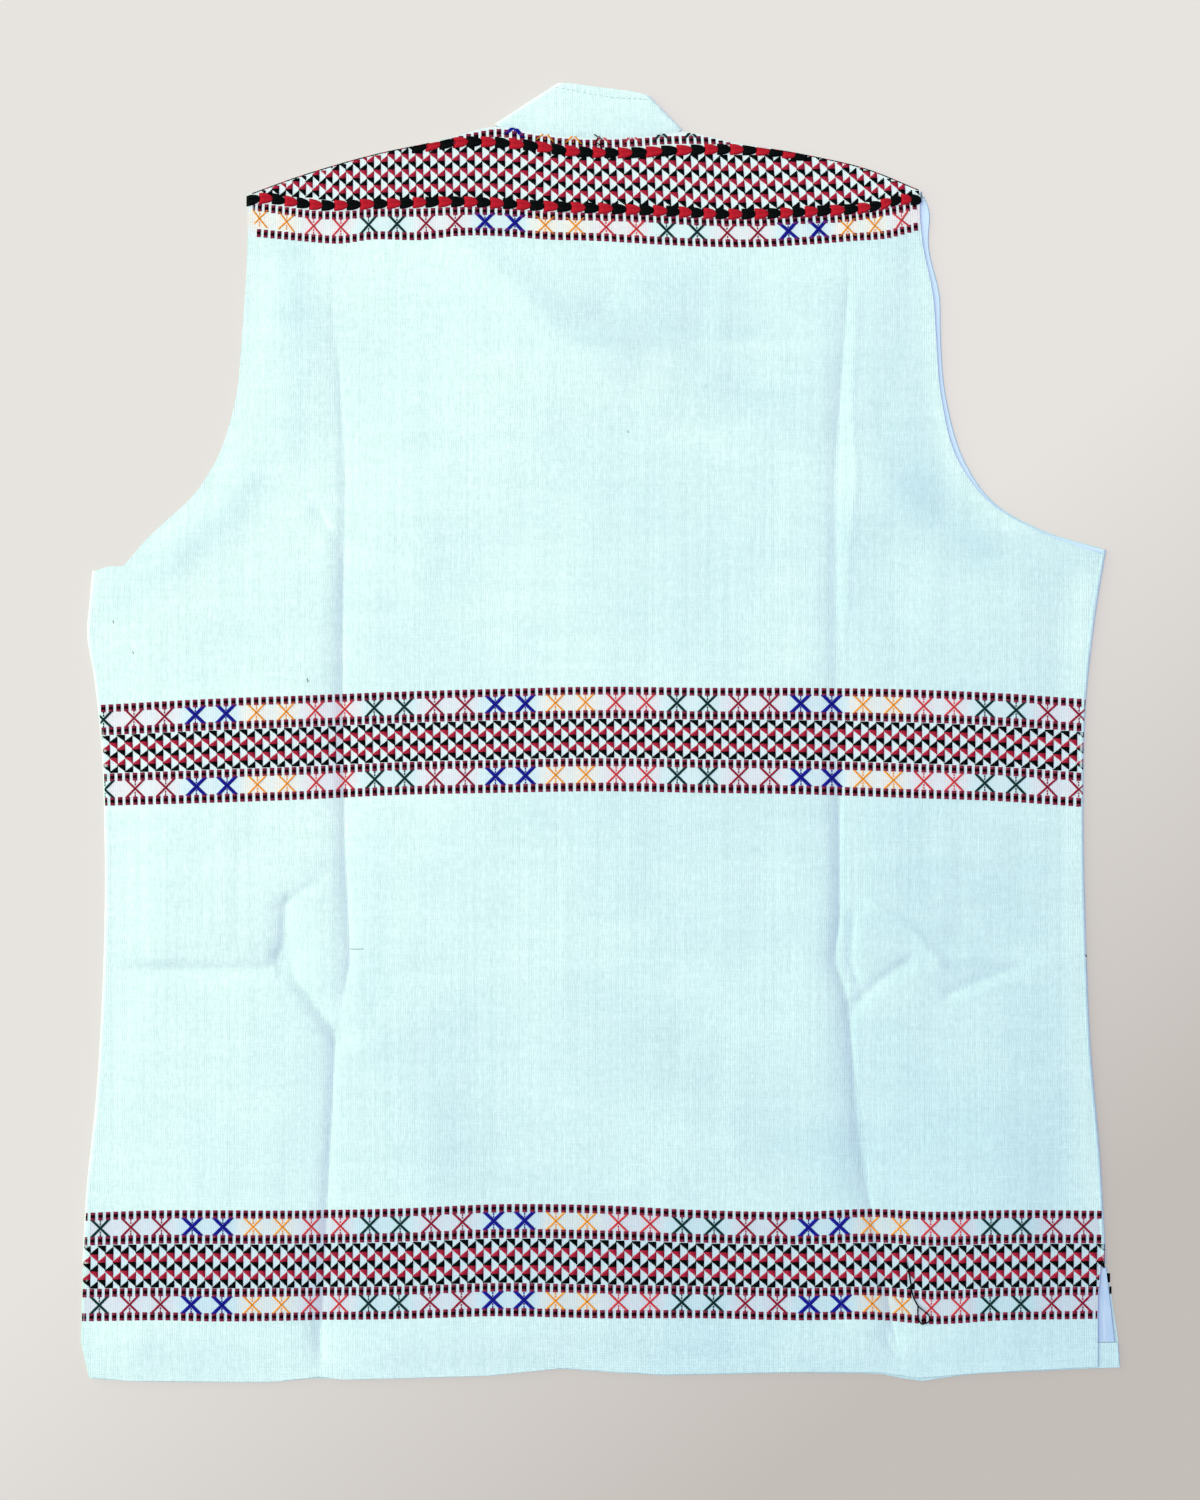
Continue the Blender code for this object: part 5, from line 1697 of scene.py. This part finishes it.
def leaf_braid(name, node, centre_line, leaves):
    """Leaves along the centre line, each drawn over the tail of the next. Its half width and height
    follow the leaf's tables; across it two round lobes stand on either side of a valley, grooved
    between strands that close in on the tip, and its tail is notched where the last tip enters."""
    numbers = np.arange(leaves.number[-1] + 1)
    ends = hermite(leaves.number, leaves.x, numbers)
    first, size = ends[:-1, None, None], np.diff(ends)[:, None, None]
    along, wide, high = [part[None, :, None] for part in LEAF_SHAPE]
    v = np.linspace(-1, 1, LEAF_ACROSS)[None, None, :]
    notch = LEAF_NOTCH * (1 - np.abs(v)) * np.maximum(1 - along / NOTCH_LENGTH, 0)
    x = first + size * (along + notch)
    y = straight_on(*centre_line, x) + LEAF_HALF_WIDTH * wide * v
    y = np.minimum(y, top_y(x) - BRAID_EDGE_MARGIN)
    lobe = np.sqrt(np.clip(1 - (2 * np.abs(v) - 1) ** 2, 0, 1))
    lobe = np.maximum(lobe, LOBE_VALLEY * (np.abs(v) < 0.5))
    groove = STRAND_GROOVE * (1 - np.cos(2 * np.pi * LOBE_STRANDS * np.abs(v))) / 2
    rise = bpy.context.scene.waistcoat_sizes.braid_rise
    z = BACK_TOP + BRAID_LEVEL + np.maximum((rise * lobe - groove) * high, 0)
    top = np.stack(np.broadcast_arrays(x, y, z), axis=3)
    kept = (y.max(axis=(1, 2)) - y.min(axis=(1, 2))) > BRAID_LEAST_WIDTH
    top, numbers = top[kept], numbers[:-1][kept]
    below = top[:, :, [LEAF_ACROSS - 1, 0]] * (1, 1, 0) + (0, 0, BACK_TOP)
    rings = np.concatenate([top, below], axis=2)
    yarns = np.where(numbers % 2 == 0, "black", "braid_red")
    braid = tubes(name, rings, yarns)
    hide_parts(node)


def make_braids():
    """Both arrow braids of the yoke."""
    leaf_braid("lower_arrow_braid", "yoke_braid_lower", LOWER_BRAID, LOWER_LEAVES)
    leaf_braid("upper_arrow_braid", "yoke_braid_upper", UPPER_BRAID, UPPER_LEAVES)


def make_floor():
    """A plain square of background paper just below the waistcoat."""
    mesh = bpy.data.meshes.new("floor")
    half = FLOOR_HALF * MM
    corners = [(-half, -half), (half, -half), (half, half), (-half, half)]
    mesh.from_pydata([(x, y, FLOOR_LEVEL * MM) for x, y in corners], [], [(0, 1, 2, 3)])
    mesh.materials.append(studio_paper())
    floor = bpy.data.objects.new("floor", mesh)
    bpy.context.scene.collection.objects.link(floor)


def make_lights():
    """A broad key light from the left and a weak even fill from all round."""
    scene = bpy.context.scene
    lamp = bpy.data.lights.new("key", "SUN")
    lamp.angle = math.radians(KEY_SPREAD)
    lamp.energy = KEY_STRENGTH
    lamp.color = KEY_TINT
    key = bpy.data.objects.new("key", lamp)
    key.rotation_euler = Vector(KEY_FROM).to_track_quat("Z", "Y").to_euler()
    scene.collection.objects.link(key)
    world = bpy.data.worlds.new("fill")
    world.use_nodes = True
    background = world.node_tree.nodes["Background"]
    background.inputs["Color"].default_value = (*FILL_TINT, 1.0)
    background.inputs["Strength"].default_value = FILL_STRENGTH
    scene.world = world
    scene.view_settings.view_transform = "Standard"


def make_camera():
    """A camera straight above, so high that the floor in its view is as long as it should be."""
    scene = bpy.context.scene
    lens = bpy.data.cameras.new("camera")
    lens.lens = LENS
    lens.sensor_width = SENSOR
    lens.dof.use_dof = False
    camera = bpy.data.objects.new("camera", lens)
    camera.location = Vector((*CAMERA_OVER, VIEW_HEIGHT * LENS / SENSOR)) * MM
    scene.collection.objects.link(camera)
    scene.camera = camera


class WAISTCOAT_OT_fronts(bpy.types.Operator):
    """Make both fronts and the turned-up hem of the right one"""

    bl_idname = "waistcoat.make_fronts"
    bl_label = "Fronts"

    def execute(self, context):
        make_fronts()
        make_turned_hem()
        return {"FINISHED"}


class WAISTCOAT_OT_lining(bpy.types.Operator):
    """Make the lining of the right front"""

    bl_idname = "waistcoat.make_lining"
    bl_label = "Lining"

    def execute(self, context):
        make_lining()
        return {"FINISHED"}


class WAISTCOAT_OT_back(bpy.types.Operator):
    """Make the back, the collar that stands on its neck seam and the collar's stitches"""

    bl_idname = "waistcoat.make_back"
    bl_label = "Back and collar"

    def execute(self, context):
        make_collar(make_back())
        return {"FINISHED"}


class WAISTCOAT_OT_bands(bpy.types.Operator):
    """Make the coloured floats of the yoke, waist and hem bands, and those along the edges"""

    bl_idname = "waistcoat.make_bands"
    bl_label = "Woven bands"

    def execute(self, context):
        make_bands()
        return {"FINISHED"}


class WAISTCOAT_OT_braids(bpy.types.Operator):
    """Make the two arrow braids of the yoke"""

    bl_idname = "waistcoat.make_braids"
    bl_label = "Arrow braids"

    def execute(self, context):
        make_braids()
        return {"FINISHED"}


class WAISTCOAT_OT_loose(bpy.types.Operator):
    """Make the loose thread ends and the flecks that lie on the cloth"""

    bl_idname = "waistcoat.make_loose_threads"
    bl_label = "Loose threads"

    def execute(self, context):
        make_loose_threads()
        return {"FINISHED"}


class WAISTCOAT_OT_stage(bpy.types.Operator):
    """Make the floor, the light and the camera"""

    bl_idname = "waistcoat.make_stage"
    bl_label = "Stage"

    def execute(self, context):
        make_floor()
        make_lights()
        make_camera()
        return {"FINISHED"}


OPERATORS = (
    WAISTCOAT_OT_fronts,
    WAISTCOAT_OT_lining,
    WAISTCOAT_OT_back,
    WAISTCOAT_OT_bands,
    WAISTCOAT_OT_braids,
    WAISTCOAT_OT_loose,
    WAISTCOAT_OT_stage,
)


class WAISTCOAT_PT_panel(bpy.types.Panel):
    """The pieces of the waistcoat, and its sizes and colours"""

    bl_label = "Waistcoat"
    bl_idname = "WAISTCOAT_PT_panel"
    bl_space_type = "VIEW_3D"
    bl_region_type = "UI"
    bl_category = "Waistcoat"

    def draw(self, context):
        for operator in OPERATORS:
            self.layout.operator(operator.bl_idname)
        for group in (context.scene.waistcoat_sizes, context.scene.waistcoat_colours):
            column = self.layout.column()
            for name in group.__annotations__:
                column.prop(group, name)


CLASSES = (WaistcoatSizes, WaistcoatColours, *OPERATORS, WAISTCOAT_PT_panel)


def register():
    """Registers the classes, and gives the scene its sizes and colours."""
    for cls in CLASSES:
        bpy.utils.register_class(cls)
    bpy.types.Scene.waistcoat_sizes = PointerProperty(type=WaistcoatSizes)
    bpy.types.Scene.waistcoat_colours = PointerProperty(type=WaistcoatColours)


def unregister():
    """Takes back what register gave."""
    del bpy.types.Scene.waistcoat_colours
    del bpy.types.Scene.waistcoat_sizes
    for cls in reversed(CLASSES):
        bpy.utils.unregister_class(cls)


def main():
    """Makes every piece in order."""
    register()
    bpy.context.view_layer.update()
    bpy.ops.waistcoat.make_fronts()
    bpy.ops.waistcoat.make_lining()
    bpy.ops.waistcoat.make_back()
    bpy.ops.waistcoat.make_bands()
    bpy.ops.waistcoat.make_braids()
    bpy.ops.waistcoat.make_loose_threads()
    bpy.ops.waistcoat.make_stage()


if __name__ == "__main__":
    main()
